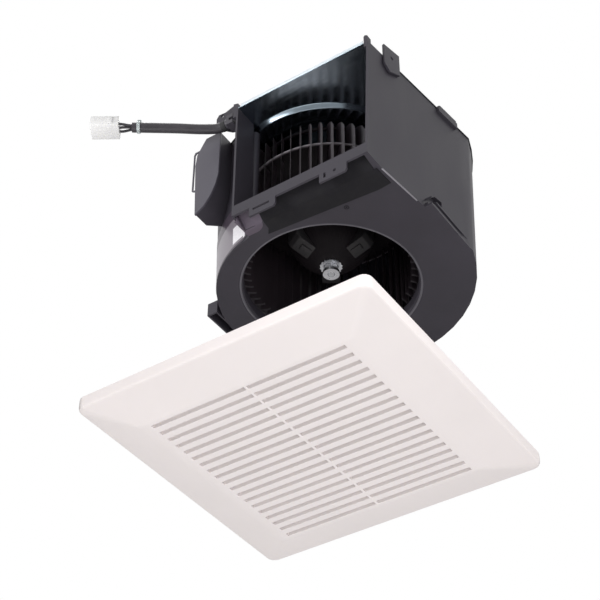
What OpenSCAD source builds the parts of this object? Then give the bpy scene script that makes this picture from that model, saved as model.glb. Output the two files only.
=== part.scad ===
// Bathroom exhaust fan: the scroll blower that lifts out of its ceiling housing,
// with its plug-in lead, and the white grille that hangs below it on torsion springs.
// The origin is on the wheel axis, on the top face of the motor plate. +Z points up,
// the outlet blows towards -Y, and heights named _h are measured from the casing floor.

/* [Scroll casing] */
// Height of the casing, from the underside of its floor to the motor plate
casing_h = 168; // [160:1:180]
// Wall thickness of the moulded casing
wall = 2.4; // [2:0.1:3]
// Outer radius of the scroll where the spiral starts, at floor level
scroll_r = 115; // [113:0.5:119]
// Growth of the spiral's radius over one full turn
scroll_growth = 62; // [54:1:68]
// Outward lean of the moulded walls, in degrees
draft = 1.5; // [0.5:0.1:2]
// Radius of the air inlet
inlet_r = 93.5; // [91:0.5:95]
// Radius of the rounded lip of the inlet
lip_r = 6; // [4:0.5:8]

/* [Outlet] */
// Distance from the wheel axis to the face of the outlet
outlet_y = 143; // [140:1:152]
// Distance from the wheel axis to the left inner wall of the outlet
outlet_left = 25; // [22:1:29]
// Distance from the wheel axis to the right inner wall of the outlet
outlet_right = 131; // [126:1:134]
// Height of the lower lip of the outlet above the floor
sill_h = 18; // [14:1:22]
// Height of the hanging flange under the lower lip
flange_h = 13.5; // [10:0.5:13.5]

/* [Fan wheel] */
// Outer radius of the vanes
wheel_r = 101; // [99:0.5:103]
// Inner radius of the vanes
vane_in_r = 86; // [84:0.5:88]
// Number of vanes
vane_count = 54; // [44:1:58]
// Height of the vanes
vane_h = 138; // [130:1:139]
// Height of the lower ends of the vanes above the floor
vane_foot_h = 19; // [17:0.5:20]
// Height of the web that carries the vanes above the floor
web_h = 119; // [112:1:124]
// How far the root of a vane lags its tip, in degrees
vane_lead = 7; // [5:0.5:8]
// Thickness of a vane
vane_t = 1.3; // [1.1:0.1:1.6]

/* [Motor] */
// Thickness of the motor plate
plate_t = 1; // [0.8:0.1:1.5]
// Depth of the round pressing in the motor plate
pressing_d = 6; // [4:0.5:7]
// Radius of the round pressing in the motor plate
pressing_r = 113; // [110:0.5:114]
// Outer radius of the motor
motor_r = 43; // [40:0.5:46]
// Height of the stator core
core_h = 30; // [24:1:34]
// Height of each end bell of the motor
bell_h = 20; // [18:1:22]
// Radius of the rotor
rotor_r = 22; // [20:0.5:23]
// Radius of the motor shaft
shaft_r = 4; // [3:0.1:4.5]
// Radial clearance between the shaft and its bearings
running_gap = 0.03; // [0.02:0.01:0.08]

/* [Junction box and lead] */
// Width of the face of the junction box
box_w = 28; // [25:1:30]
// Height of the junction box
box_h = 112; // [105:1:118]
// Radius of the sleeved lead
lead_r = 5.2; // [4.8:0.1:5.6]
// Length of the connector body
plug_l = 31; // [28:1:36]
// Width of the connector body
plug_w = 22; // [19:1:24]
// Thickness of the connector body
plug_t = 14; // [12:1:15]

/* [Grille] */
// Side of the square grille
grille_side = 330; // [320:1:345]
// Side of its flat slotted middle
flat_side = 246; // [240:1:254]
// Height of the whole grille
grille_h = 24; // [22:0.5:28]
// Rise of the sloping border from the middle to the rim
border_rise = 11.5; // [9:0.5:13]
// Wall thickness of the grille
grille_wall = 2.5; // [2:0.1:3]
// Number of slots, one above another
slot_count = 19; // [15:2:19]
// Width of a slot
slot_w = 5; // [4:0.2:6]
// Distance from one slot to the next
slot_pitch = 12.62; // [12:0.02:12.8]
// Length of a slot, to one side of the middle rib
slot_l = 108.5; // [100:0.5:110]
// Width of the middle rib
rib_w = 2.6; // [2:0.2:4]
// Depth of the bars between the slots
bar_d = 7; // [6:0.5:8]
// How far the grille hangs below the casing, face to floor
hang = 209; // [180:1:220]

/* [Torsion springs] */
// Radius of the spring wire
wire_r = 1; // [0.8:0.1:1.1]
// Inner radius of the spring coil
coil_in_r = 4.6; // [4.4:0.1:5.5]
// Whole turns in each half of a spring
coil_turns = 2; // [2:1:3]
// Length of a spring arm
arm_l = 96; // [80:1:100]
// Angle of a resting arm above the level, in degrees
arm_rise = 9; // [6:1:12]

/* [Hidden] */
$fn = 96;

// Small overrun of a cut past the face that it opens
eps = 0.5;
// Clearance between moulded pieces that fit together
fit = 0.25;
floor_z = -(plate_t + casing_h);
function at_h(h) = floor_z + h;
function polar(r, a) = [r * cos(a), r * sin(a)];
// Growth of the drafted plan outline with height above the floor
function lean(h) = 1 + h * tan(draft) / scroll_r;

// Plan of the scroll: a spiral that ends in the straight outlet duct
spiral_end = 12;
spiral_step = 8;
duct_run = 12;
front_cut_w = 400;
front_cut_d = 40;
function start_angle(inset) = -90 - asin((outlet_left + wall - inset) / (scroll_r - inset));
function spiral_r(a, inset) = scroll_r - inset + scroll_growth * (start_angle(0) - a) / 360;
function spiral(inset) = let (
        a0 = start_angle(inset), a1 = spiral_end - 360,
        n = ceil((a0 - a1) / spiral_step)
    ) [for (i = [0:n]) polar(spiral_r(a0 + (a1 - a0) * i / n, inset), a0 + (a1 - a0) * i / n)];
function scroll_plan(inset) = concat(spiral(inset), [
        [outlet_right + wall - inset, -outlet_y - duct_run],
        [-outlet_left - wall + inset, -outlet_y - duct_run]
    ]);
function wall_x(y) = let (a = polar(spiral_r(spiral_end - 360, 0), spiral_end), b = outlet_right + wall)
    b + (a[0] - b) * (y + outlet_y + duct_run) / (a[1] + outlet_y + duct_run);

module scroll_prism(inset, h0, h1) {
    translate([0, 0, at_h(h0)])
        linear_extrude(height = h1 - h0, scale = lean(h1) / lean(h0))
            polygon([for (p = scroll_plan(inset)) p * lean(h0)]);
}

module span(x0, x1, y0, y1, h0, h1) {
    translate([x0, y0, at_h(h0)]) cube([x1 - x0, y1 - y0, h1 - h0]);
}

// A side view, drawn as [y, height above the floor], run from x0 to x1
module side_profile(x0, x1, points) {
    translate([x0, 0, floor_z]) rotate([90, 0, 90]) linear_extrude(height = x1 - x0) polygon(points);
}

// A front view, drawn as [x, height above the floor], run from y0 to y1
module front_profile(y0, y1, points) {
    translate([0, y1, floor_z]) rotate([90, 0, 0]) linear_extrude(height = y1 - y0) polygon(points);
}

module ring(r_in, r_out, h) {
    difference() {
        cylinder(r = r_out, h = h);
        translate([0, 0, -eps]) cylinder(r = r_in, h = h + 2 * eps);
    }
}

// The outlet's floor climbs from the casing floor to the sill
ramp_y = 122;
flange_t = 2.2;
flange_foot_h = sill_h - flange_h;
throat_h = 14;
throat_t = 1.8;
tongue_r = 5.5;
tongue_y = 105;

module casing_shell() {
    difference() {
        scroll_prism(0, 0, casing_h);
        difference() {
            scroll_prism(wall, wall, casing_h + eps);
            side_profile(-outlet_left - 20, outlet_right + 20, [
                [-ramp_y + 2, wall - eps], [-ramp_y + 2, wall], [-outlet_y + flange_t, sill_h],
                [-outlet_y - duct_run - eps, sill_h], [-outlet_y - duct_run - eps, wall - eps]]);
        }
    }
}

// Space under the outlet's ramp, open below, behind the hanging flange
module ramp_recess() {
    side_profile(-outlet_left, outlet_right - 1, [
        [-ramp_y, -eps], [-ramp_y, 0], [-outlet_y + flange_t, sill_h - wall], [-outlet_y + flange_t, -eps]]);
    side_profile(-outlet_left - 20, outlet_right + 20, [
        [-ramp_y, -eps], [-ramp_y, 0], [-outlet_y - duct_run - eps, flange_foot_h * 1.5],
        [-outlet_y - duct_run - eps, -eps]]);
}

// Rounded inlet lip, drawn as [radius, height above the floor]
module inlet_mouth() {
    translate([0, 0, floor_z]) rotate_extrude($fn = 128) polygon(concat(
        [for (a = [270:-15:180]) [inlet_r + lip_r, lip_r] + polar(lip_r, a)],
        [[inlet_r, throat_h], [inlet_r + throat_t, throat_h], [inlet_r + throat_t, lip_r + 1]],
        [for (a = [195:15:255]) [inlet_r + lip_r, lip_r] + polar(lip_r - throat_t, a)],
        [[inlet_r + lip_r, wall - 0.2], [inlet_r + lip_r + eps, wall - 0.2], [inlet_r + lip_r + eps, 0]]));
}

// Tabs under the outlet: one with a long slot, one with a slot and a screw hole
slot_tab_x = 10.5;
screw_tab_x = 95;
tab_w = 32;
tab_h = 8;
tab_screw_x = 97;
tab_screw_h = 0.4;
tab_screw_r = 1.8;

module outlet_tabs() {
    for (x = [slot_tab_x, screw_tab_x])
        front_profile(-outlet_y, -outlet_y + flange_t, [
            [x - tab_w / 2, -tab_h], [x + tab_w / 2 - 2, -tab_h], [x + tab_w / 2, -tab_h + 3],
            [x + tab_w / 2, sill_h - 4], [x - tab_w / 2, sill_h - 4]]);
}

module outlet_tab_cuts() {
    span(slot_tab_x - 11.5, slot_tab_x + 8.5, -outlet_y - eps, -outlet_y + flange_t + eps, -1.2, 1.8);
    span(screw_tab_x - 11, screw_tab_x - 8.4, -outlet_y - eps, -outlet_y + flange_t + eps, -3.5, 3);
    translate([tab_screw_x, -outlet_y - eps, at_h(tab_screw_h)])
        rotate([-90, 0, 0]) cylinder(r = tab_screw_r, h = flange_t + 2 * eps, $fn = 32);
}

// Prongs that stand up from the two front corners, past the motor plate
prong_h = 10;
prong_w = 5;
prong_d = 7;
left_edge = (outlet_left + wall) * lean(casing_h);
right_edge = wall_x(-outlet_y) * lean(casing_h);

module corner_prongs() {
    front_profile(-outlet_y, -outlet_y + prong_d, [
        [right_edge - prong_w, casing_h - 6], [right_edge - 0.4, casing_h - 6],
        [right_edge - 0.4, casing_h + prong_h],
        [right_edge - prong_w + 1.5, casing_h + prong_h + 2], [right_edge - prong_w, casing_h + prong_h]]);
    front_profile(-outlet_y, -outlet_y + prong_d, [
        [-left_edge - 4, casing_h - 12], [-left_edge + 2, casing_h - 12],
        [-left_edge + 2, casing_h + prong_h - 2],
        [-left_edge - 4, casing_h + prong_h]]);
}

// Brackets that screw the blower into its housing: one on each of the outlet's walls
side_y = -106;
side_l = 27;
side_t = 2.6;
side_hole_r = 2.2;
side_rise = 20;
side_drop = 14;
side_x = wall_x(side_y / lean(casing_h)) * lean(casing_h) + 0.1;
hole_rise = 4;
wall_turn = atan2(wall_x(0) - wall_x(-100), 100);

module side_bracket() color("#3d3c41") {
    translate([side_x, side_y, 0]) rotate([0, 0, -wall_turn]) difference() {
        side_profile(0, side_t, [
            [-side_l / 2, casing_h - side_drop], [-4, casing_h - side_drop - 7],
            [side_l / 2, casing_h - side_drop + 2], [side_l / 2, casing_h + side_rise],
            [-side_l / 2, casing_h + side_rise - 4]]);
        translate([-eps, 0, at_h(casing_h + hole_rise)])
            rotate([0, 90, 0]) cylinder(r = side_hole_r, h = side_t + 2 * eps, $fn = 40);
    }
}

ear_x = -58;
ear_y = -129.5;
ear_t = 2.4;
ear_top = casing_h + 27;
ear_hole_h = casing_h + 20;
ear_root = -left_edge - 0.1;

// Ear in front of the junction box, with a foot along the outlet's left wall
module ear_bracket() color("#3d3c41") {
    difference() {
        front_profile(ear_y, ear_y + ear_t, [
            [ear_root, casing_h - 20], [ear_root, casing_h - 1], [-left_edge - 7, casing_h + 3],
            [-left_edge - 8, ear_top - 6], [-left_edge - 14, ear_top],
            [ear_x + 4, ear_top - 4], [ear_x - 5, ear_top - 3], [ear_x - 8, ear_top - 8],
            [ear_x - 8, casing_h + 4], [ear_x + 2, casing_h - 4], [ear_x + 14, casing_h - 14]]);
        translate([ear_x, ear_y - eps, at_h(ear_hole_h)])
            rotate([-90, 0, 0]) cylinder(r = side_hole_r, h = ear_t + 2 * eps, $fn = 40);
    }
    side_profile(ear_root - ear_t, ear_root, [
        [ear_y + 1, casing_h - 20], [ear_y + 13, casing_h - 17], [ear_y + 13, casing_h - 4],
        [ear_y + 1, casing_h - 1]]);
}

// Hooks that snap over the edge of the motor plate
hook_w = 22;
hook_t = 3;
hook_reach = 2.2;
hook_root = 1.4;
hook_drop = 13;

module plate_hook(angle, radius) {
    rotate([0, 0, angle]) translate([radius, -hook_w / 2, 0]) {
        translate([-hook_root, 0, -hook_drop]) cube([hook_t + hook_root, hook_w, hook_drop - plate_t]);
        translate([0, 0, -hook_drop]) cube([hook_t, hook_w, hook_drop + fit]);
        translate([-hook_reach, 0, fit]) cube([hook_reach + hook_t, hook_w, 2]);
    }
}

function edge_r(angle) = spiral_r(angle - 360, 0) * lean(casing_h);
hook_angles = [52, 100, 160];
right_hook_y = -7;
right_hook_l = 34;

module plate_hooks() {
    for (a = hook_angles) plate_hook(a, edge_r(a) + 0.3);
    translate([wall_x(right_hook_y), right_hook_y, 0] * lean(casing_h)) rotate([0, 0, -wall_turn])
        translate([0, -right_hook_l / 2, 0]) {
            translate([-hook_root, 0, -8]) cube([hook_t + hook_root, right_hook_l, 8 - plate_t]);
            translate([0, 0, -8]) cube([hook_t, right_hook_l, 8 + fit]);
            translate([-hook_reach, 2, fit]) cube([hook_reach + hook_t, right_hook_l - 4, 2]);
        }
}

// Screw bosses inside the top edge, under the motor plate
boss_r = 5;
boss_h = 24;
boss_hole_r = 1.6;
boss_inset = 6.2;
boss_points = [for (a = [75, 140, 205]) polar(edge_r(a) - boss_inset, a)];

module bosses() {
    for (p = boss_points) translate([p[0], p[1], -plate_t - boss_h])
        cylinder(r = boss_r, h = boss_h, $fn = 40);
}

module boss_holes() {
    for (p = boss_points)
        translate([p[0], p[1], -plate_t - boss_h + 3]) cylinder(r = boss_hole_r, h = boss_h, $fn = 32);
}

// Left slide bar: an open channel on the outside of the scroll
bar_x0 = -137.5;
bar_x1 = -124.5;
bar_y0 = -36;
bar_y1 = 64;
bar_h = 17;
channel_wall = 2;

module slide_bar() {
    difference() {
        span(bar_x0, bar_x1, bar_y0, bar_y1, 0, bar_h);
        span(bar_x0 + channel_wall, bar_x1 - channel_wall, bar_y0 + channel_wall, bar_y1 - channel_wall,
            -eps, bar_h - channel_wall);
        scroll_prism(wall / 2, -eps, bar_h + eps);
    }
}

// Right slide rail: a groove with a strip in it, and a three-cornered pocket above its front end
rail_y0 = -50;
rail_y1 = 34;
rail_h = 11;
rail_x = wall_x(rail_y1) - 0.8;
groove_d = 4.5;
pocket_x = wall_x(-40) - 2.4;
pocket_backing = 5;

module right_rail() {
    difference() {
        side_profile(rail_x - 16, rail_x, [
            [rail_y0, 0], [rail_y1, 0], [rail_y1, rail_h + 3], [rail_y1 - 8, rail_h], [rail_y0, rail_h]]);
        scroll_prism(wall / 2, -eps, rail_h + 4);
        side_profile(rail_x - groove_d, rail_x + eps, [
            [rail_y0 - eps, 2.4], [rail_y1 - 9, 2.4],
            [rail_y1 - 9, rail_h - 2], [rail_y0 - eps, rail_h - 2]]);
    }
    side_profile(rail_x - groove_d - 0.2, rail_x - 1.4, [
        [rail_y0 + 8, 4], [rail_y1 - 13, 4], [rail_y1 - 13, rail_h - 4], [rail_y0 + 8, rail_h - 4]]);
}

module pocket_backing_wall() {
    intersection() {
        side_profile(pocket_x - pocket_backing, pocket_x + 8,
            [[-60, 0.5], [-16, 0.5], [-16, 32], [-60, 32]]);
        scroll_prism(wall / 4, 0.5, 32);
    }
}

module rail_pocket() {
    side_profile(pocket_x, pocket_x + 20,
        [[-56, 2], [-36, rail_h + 1], [-21, rail_h + 1], [-21, 28], [-33, 27]]);
}

module scroll_casing() color("#3d3c41") {
    difference() {
        union() {
            difference() {
                casing_shell();
                ramp_recess();
                translate([0, 0, floor_z - eps])
                    cylinder(r = inlet_r + lip_r, h = wall + 2 * eps, $fn = 128);
            }
            inlet_mouth();
            slide_bar();
            right_rail();
            pocket_backing_wall();
            outlet_tabs();
            corner_prongs();
            plate_hooks();
            bosses();
            translate([-outlet_left - tongue_r + 0.6, -tongue_y, at_h(1)])
                cylinder(r = tongue_r, h = casing_h - 2 - pressing_d, $fn = 48);
        }
        span(-front_cut_w / 2, front_cut_w / 2, -outlet_y - front_cut_d, -outlet_y,
            -2 * tab_h, casing_h + 40);
        outlet_tab_cuts();
        boss_holes();
        rail_pocket();
    }
}

// Motor plate: sheet steel with a round pressing that hangs down over the wheel
pressing_slope = 6;
disc_r = pressing_r - pressing_slope;
motor_seat_r = 34;
grommet_r = 5.5;
motor_screw_r = 2;
motor_screw_angles = [30, 150, 270];
plate_inset = 0.6;
prong_gap = 0.6;

module plate_blank() {
    translate([0, 0, -plate_t]) linear_extrude(height = plate_t)
        polygon([for (p = scroll_plan(plate_inset)) p * lean(casing_h)]);
}

module motor_plate() color("#9fb0b3") {
    difference() {
        union() {
            difference() {
                plate_blank();
                translate([0, 0, -plate_t - eps])
                    cylinder(r = pressing_r, h = plate_t + 2 * eps, $fn = 128);
            }
            rotate_extrude($fn = 128) polygon([
                [pressing_r + 0.2, 0], [pressing_r - 1, 0],
                [disc_r + 1, plate_t - pressing_d], [0, plate_t - pressing_d],
                [0, -pressing_d], [disc_r + 0.4, -pressing_d], [disc_r + 2.2, -pressing_d + 0.5],
                [pressing_r - 0.8, -plate_t - 0.6], [pressing_r + 0.2, -plate_t]]);
        }
        for (a = motor_screw_angles) rotate([0, 0, a]) translate([motor_seat_r, 0, -pressing_d - eps])
            cylinder(r = grommet_r - 2, h = pressing_d + 2 * eps, $fn = 32);
        for (p = boss_points) translate([p[0], p[1], -plate_t - eps])
            cylinder(r = boss_hole_r + 0.4, h = plate_t + 2 * eps, $fn = 32);
        translate([-vent_ring, 0, -pressing_d - eps])
            cylinder(r = leads_r + 1.4, h = pressing_d + 2 * eps, $fn = 32);
        translate([0, 0, -pressing_d - eps]) cylinder(r = neck_r + 1.4, h = pressing_d + 2 * eps, $fn = 48);
        translate([-front_cut_w / 2, -outlet_y - front_cut_d, -plate_t - eps])
            cube([front_cut_w, front_cut_d, plate_t + 2 * eps]);
        translate([right_edge - prong_w - prong_gap, -outlet_y - eps, -plate_t - eps])
            cube([prong_w + 4, prong_d + prong_gap + eps, plate_t + 2 * eps]);
        translate([-left_edge - 4, -outlet_y - eps, -plate_t - eps])
            cube([6 + prong_gap, prong_d + prong_gap + eps, plate_t + 2 * eps]);
    }
}

module pan_screw(shank_r, shank_l, head_r, head_h) {
    translate([0, 0, -shank_l]) cylinder(r = shank_r, h = shank_l, $fn = 32);
    difference() {
        cylinder(r = head_r, h = head_h, $fn = 40);
        for (turn = [0, 90]) rotate([0, 0, turn])
            translate([-head_r * 0.6, -0.4, head_h - 0.9]) cube([head_r * 1.2, 0.8, 2]);
    }
}

module plate_screws() color("#b9bcc0") {
    for (p = boss_points) translate([p[0], p[1], 0]) pan_screw(boss_hole_r - 0.05, 16, 3.6, 2.2);
}

// Motor: everything hangs on the shaft line below the round pressing
grommet_h = 4;
motor_top = -pressing_d - grommet_h;
core_top = motor_top - bell_h;
core_bottom = core_top - core_h;
bell_t = 1.6;
bearing_r = 8;
neck_r = bearing_r + 1.8;
neck_h = 6;
seat_drop = 7;
lip_t = 1.2;
air_gap = 0.35;
shaft_bore = shaft_r + running_gap;
bell_screw_r = 1.6;
bell_screw_ring = motor_r - 7;
winding_in_r = rotor_r + 2.5;
winding_out_r = motor_r - 10;
winding_h = 11;
vent_r = 4;
vent_ring = 25;

// One stamped end bell, standing on its rim, with the bearing seat in its crown
module bell() {
    difference() {
        rotate_extrude($fn = 96) polygon([
            [motor_r, 0], [motor_r, bell_h - 4], [motor_r - 1, bell_h - 1.4], [motor_r - 3, bell_h],
            [neck_r, bell_h], [neck_r, bell_h + neck_h], [shaft_r + 1.5, bell_h + neck_h],
            [shaft_r + 1.5, bell_h + neck_h - lip_t], [bearing_r, bell_h + neck_h - lip_t],
            [bearing_r, bell_h - seat_drop], [neck_r, bell_h - seat_drop], [neck_r, bell_h - bell_t],
            [motor_r - 4, bell_h - bell_t], [motor_r - bell_t, bell_h - 4], [motor_r - bell_t, 0]]);
        for (a = [0:60:300]) rotate([0, 0, a]) translate([vent_ring, 0, bell_h / 2])
            cylinder(r = vent_r, h = bell_h, $fn = 32);
        for (a = motor_screw_angles) rotate([0, 0, a + 60]) translate([bell_screw_ring, 0, bell_h / 2])
            cylinder(r = bell_screw_r + 0.1, h = bell_h, $fn = 24);
    }
}

module motor_upper_bell() color("#8f9396") {
    difference() {
        translate([0, 0, core_top]) bell();
        for (a = motor_screw_angles) rotate([0, 0, a]) translate([motor_seat_r, 0, motor_top - bell_t - eps])
            cylinder(r = motor_screw_r + 0.1, h = bell_t + 2 * eps, $fn = 24);
    }
}

module motor_lower_bell() color("#8f9396") {
    translate([0, 0, core_bottom]) mirror([0, 0, 1]) bell();
}

module stator_core() color("#6d7074") {
    difference() {
        translate([0, 0, core_bottom]) ring(rotor_r + air_gap, motor_r, core_h);
        for (a = motor_screw_angles) rotate([0, 0, a + 60])
            translate([bell_screw_ring, 0, core_bottom - eps])
                cylinder(r = bell_screw_r + 0.1, h = core_h + 2 * eps, $fn = 24);
    }
}

// End turns of the stator winding, a rounded ring against the core
module end_turns() {
    rotate_extrude($fn = 72) polygon([
        [winding_in_r, 0], [winding_out_r, 0], [winding_out_r, winding_h - 4],
        [winding_out_r - 2, winding_h - 1], [winding_out_r - 4, winding_h],
        [winding_in_r + 3, winding_h], [winding_in_r + 0.8, winding_h - 2]]);
}

module upper_winding() color("#b5622d") { translate([0, 0, core_top]) end_turns(); }

module lower_winding() color("#b5622d") {
    translate([0, 0, core_bottom]) mirror([0, 0, 1]) end_turns();
}

module bearing() {
    translate([0, 0, bell_h - seat_drop]) ring(shaft_bore, bearing_r, seat_drop + neck_h - lip_t);
}

module upper_bearing() color("#a8803c") { translate([0, 0, core_top]) bearing(); }

module lower_bearing() color("#a8803c") { translate([0, 0, core_bottom]) mirror([0, 0, 1]) bearing(); }

module motor_grommets() color("#1d1d1f") {
    for (a = motor_screw_angles) rotate([0, 0, a]) translate([motor_seat_r, 0, motor_top])
        ring(motor_screw_r + 0.2, grommet_r, grommet_h);
}

module motor_screws() color("#b9bcc0") {
    for (a = motor_screw_angles) rotate([0, 0, a]) translate([motor_seat_r, 0, plate_t - pressing_d])
        pan_screw(motor_screw_r, grommet_h + plate_t + bell_t + 4, 4.4, 2.4);
}

module bell_screws() color("#b9bcc0") {
    for (a = motor_screw_angles) rotate([0, 0, a + 60])
        translate([bell_screw_ring, 0, core_bottom - bell_h]) mirror([0, 0, 1])
            pan_screw(bell_screw_r, core_h + 2 * bell_h + 2, 2.9, 2);
}

// Turning group: shaft, rotor, wheel and the nut that clamps the wheel
shaft_top = motor_top + neck_h - lip_t - 1;
shaft_foot_h = 18.8;
hub_foot_h = 31;
hub_top_h = 55;
bush_r = 9;
washer_t = 1.2;
washer_r = 12.5;
nut_r = 7.4;
nut_collar_r = 9;
nut_collar_h = 4;
collar_r = 6.5;
collar_h = 3;
web_t = 2.2;
bowl_r = 50;
ring_t = 2;
ring_h = 4;

module motor_shaft() color("#c9ccd0") {
    translate([0, 0, at_h(shaft_foot_h)]) {
        translate([0, 0, 0.8]) cylinder(r = shaft_r, h = shaft_top - at_h(shaft_foot_h) - 0.8);
        cylinder(r1 = shaft_r - 0.8, r2 = shaft_r, h = 0.8);
    }
}

module rotor_core() color("#75787c") {
    translate([0, 0, core_bottom - 1]) difference() {
        cylinder(r = rotor_r, h = core_h + 2);
        translate([0, 0, -eps]) cylinder(r = shaft_r, h = core_h + 2 + 2 * eps);
        for (z = [-eps, core_h + 2 - 3]) translate([0, 0, z]) difference() {
            cylinder(r = rotor_r - 6, h = 3 + eps);
            cylinder(r = shaft_r + 3, h = 3 + eps);
        }
    }
}

module thrust_collar() color("#d8d4c8") {
    seat = seat_drop - bell_h;
    translate([0, 0, core_top - seat - collar_h - fit]) ring(shaft_r, collar_r, collar_h);
    translate([0, 0, core_bottom + seat + fit]) ring(shaft_r, collar_r, collar_h);
}

module hub_bush() color("#a9acb0") {
    translate([0, 0, at_h(hub_foot_h)]) ring(shaft_r, bush_r, hub_top_h - hub_foot_h);
}

// One forward-curved vane in plan, its root on the inner radius
function vane_side(side) = [for (i = [0:5]) let (
        u = side > 0 ? i / 5 : 1 - i / 5,
        r = vane_in_r + u * (wheel_r - vane_in_r),
        half = vane_t / 2 * (1 + 0.35 * u) * 180 / (PI * r)
    ) polar(r, vane_lead * u * u + side * half)];

module vanes() {
    for (i = [0:vane_count - 1]) rotate([0, 0, i * 360 / vane_count])
        linear_extrude(height = vane_h) polygon(concat(vane_side(1), vane_side(-1)));
}

spoke_angles = [-117, 3, 123];
spoke_w = 20;

// Bell-shaped hub, drawn as [radius, height above the floor]
module wheel_hub() {
    translate([0, 0, floor_z]) {
        rotate_extrude($fn = 96) polygon([
            [bush_r, hub_foot_h], [13, hub_foot_h], [17, hub_foot_h + 3], [bowl_r - 20, hub_foot_h + 13],
            [bowl_r - 10, hub_foot_h + 25], [bowl_r - 4, hub_foot_h + 38], [bowl_r, web_h - 34],
            [bowl_r + 4, web_h - 18], [bowl_r + 9, web_h - 7], [bowl_r + 20, web_h - 1],
            [vane_in_r + 0.6, web_h], [vane_in_r + 0.6, web_h + web_t], [bowl_r + 19.4, web_h + 1.2],
            [bowl_r + 7.4, web_h - 5.2], [bowl_r + 1.8, web_h - 17], [bowl_r - 2.3, web_h - 33.5],
            [bowl_r - 6.2, hub_foot_h + 39], [bowl_r - 11.8, hub_foot_h + 26.6],
            [bowl_r - 21.3, hub_foot_h + 15.2], [16, hub_foot_h + 5.6], [13.5, hub_foot_h + 8],
            [13, hub_top_h], [bush_r, hub_top_h]]);
        for (a = spoke_angles) rotate([90, 0, a]) translate([0, 0, -spoke_w / 2])
            linear_extrude(height = spoke_w) polygon([
                [15.5, hub_foot_h + 4], [bowl_r - 6, hub_foot_h + 15], [bowl_r - 2, hub_foot_h + 20],
                [bowl_r - 1.5, web_h - 33], [bowl_r - 5.5, hub_foot_h + 37],
                [bowl_r - 12, hub_foot_h + 25],
                [bowl_r - 21.5, hub_foot_h + 14]]);
    }
}

module impeller() color("#1c1b1e") {
    translate([0, 0, at_h(vane_foot_h)]) {
        vanes();
        ring(wheel_r - ring_t, wheel_r + 0.4, ring_h);
        translate([0, 0, vane_h - ring_h]) ring(vane_in_r - 0.6, vane_in_r + ring_t, ring_h);
        translate([0, 0, web_h - vane_foot_h]) ring(vane_in_r - 0.4, wheel_r + 0.4, web_t);
    }
    wheel_hub();
}

module star_washer() color("#c4c8cc") {
    translate([0, 0, at_h(hub_foot_h - washer_t)]) difference() {
        linear_extrude(height = washer_t) polygon([for (i = [0:31])
            polar(washer_r - (i % 2) * 1.1, i * 360 / 32)]);
        translate([0, 0, -eps]) cylinder(r = shaft_r + 0.1, h = washer_t + 2 * eps, $fn = 48);
    }
}

module shaft_nut() color("#c4c8cc") {
    nut_foot = shaft_foot_h + 0.4;
    nut_top = hub_foot_h - washer_t;
    difference() {
        union() {
            translate([0, 0, at_h(nut_foot)]) cylinder(r = nut_r, h = nut_top - nut_foot, $fn = 6);
            translate([0, 0, at_h(nut_foot)]) cylinder(r = nut_collar_r, h = nut_collar_h, $fn = 48);
            translate([0, 0, at_h(nut_top - 1.6)]) cylinder(r = nut_collar_r, h = 1.6, $fn = 48);
        }
        translate([0, 0, at_h(shaft_foot_h) - eps]) cylinder(r = shaft_r, h = 20, $fn = 48);
    }
}

// Junction box: a moulded pod between the outlet and the scroll's left flank
box_x1 = -62;
box_x0 = box_x1 - box_w;
box_y0 = -124;
box_y1 = -60;
box_top_h = casing_h - 1;
box_foot_h = box_top_h - box_h;
box_wall = 2;
cover_t = 2.5;

// Outline of the pod's face, drawn as [x, height above the floor] and drawn in by g
function pod_face(g) = [
    [box_x0 + 1.2 * g, box_foot_h + 2.4 * g], [box_x0 - 4 + g, box_foot_h + 76],
    [box_x0 - 2.5 + g, box_foot_h + 92 - g / 2], [box_x0 + 9 + g / 2, box_top_h - g],
    [box_x1 - g, box_top_h - g],
    [box_x1 - g, box_foot_h + 46], [box_x1 - 3 - g, box_foot_h + 33 + g],
    [box_x1 - 9 - g, box_foot_h + 19 + g], [box_x1 - 17 - 0.6 * g, box_foot_h + 8 + 1.6 * g]];

// Plan wedge that the pod fills, between its face and the scroll's flank, drawn in by g
module pod_wedge(g) {
    translate([0, 0, at_h(box_foot_h - 20)]) linear_extrude(height = box_h + 40) polygon([
        [box_x0 - 8 + g, box_y0 - 10], [box_x0 - 8 + g, box_y0 + 4], [box_x0 + 26 + g, box_y1],
        [box_x1 + 10, box_y1], [box_x1 + 10, box_y0 - 10]]);
}

module junction_box() color("#37363b") {
    difference() {
        intersection() {
            front_profile(box_y0, box_y1, pod_face(0));
            pod_wedge(0);
        }
        scroll_prism(-fit, 0, casing_h + 2);
        intersection() {
            difference() {
                front_profile(box_y0 - eps, box_y1, pod_face(box_wall));
                scroll_prism(-fit - box_wall, 0, casing_h + 2);
            }
            pod_wedge(box_wall * 1.3);
        }
        translate([leads_end[0], leads_end[1], at_h(box_top_h) - 6])
            cylinder(r = leads_r + 1, h = 12, $fn = 32);
    }
}

bail_w = 6;
bail_t = 1.8;
lip_d = 3;

// Outline of the wire bail, drawn as [x, height above the floor] and drawn in by g
function bail_loop(g) = [
    [box_x0 + 3, box_foot_h + 98 - g], [box_x0 - bail_w + g, box_foot_h + 98 - g],
    [box_x0 - bail_w - 1.5 + g, box_foot_h + 94], [box_x0 - bail_w - 1 + g, box_foot_h + 38 + g],
    [box_x0 - bail_w + 2, box_foot_h + 36 + g], [box_x0 + 3, box_foot_h + 36 + g]];

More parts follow.
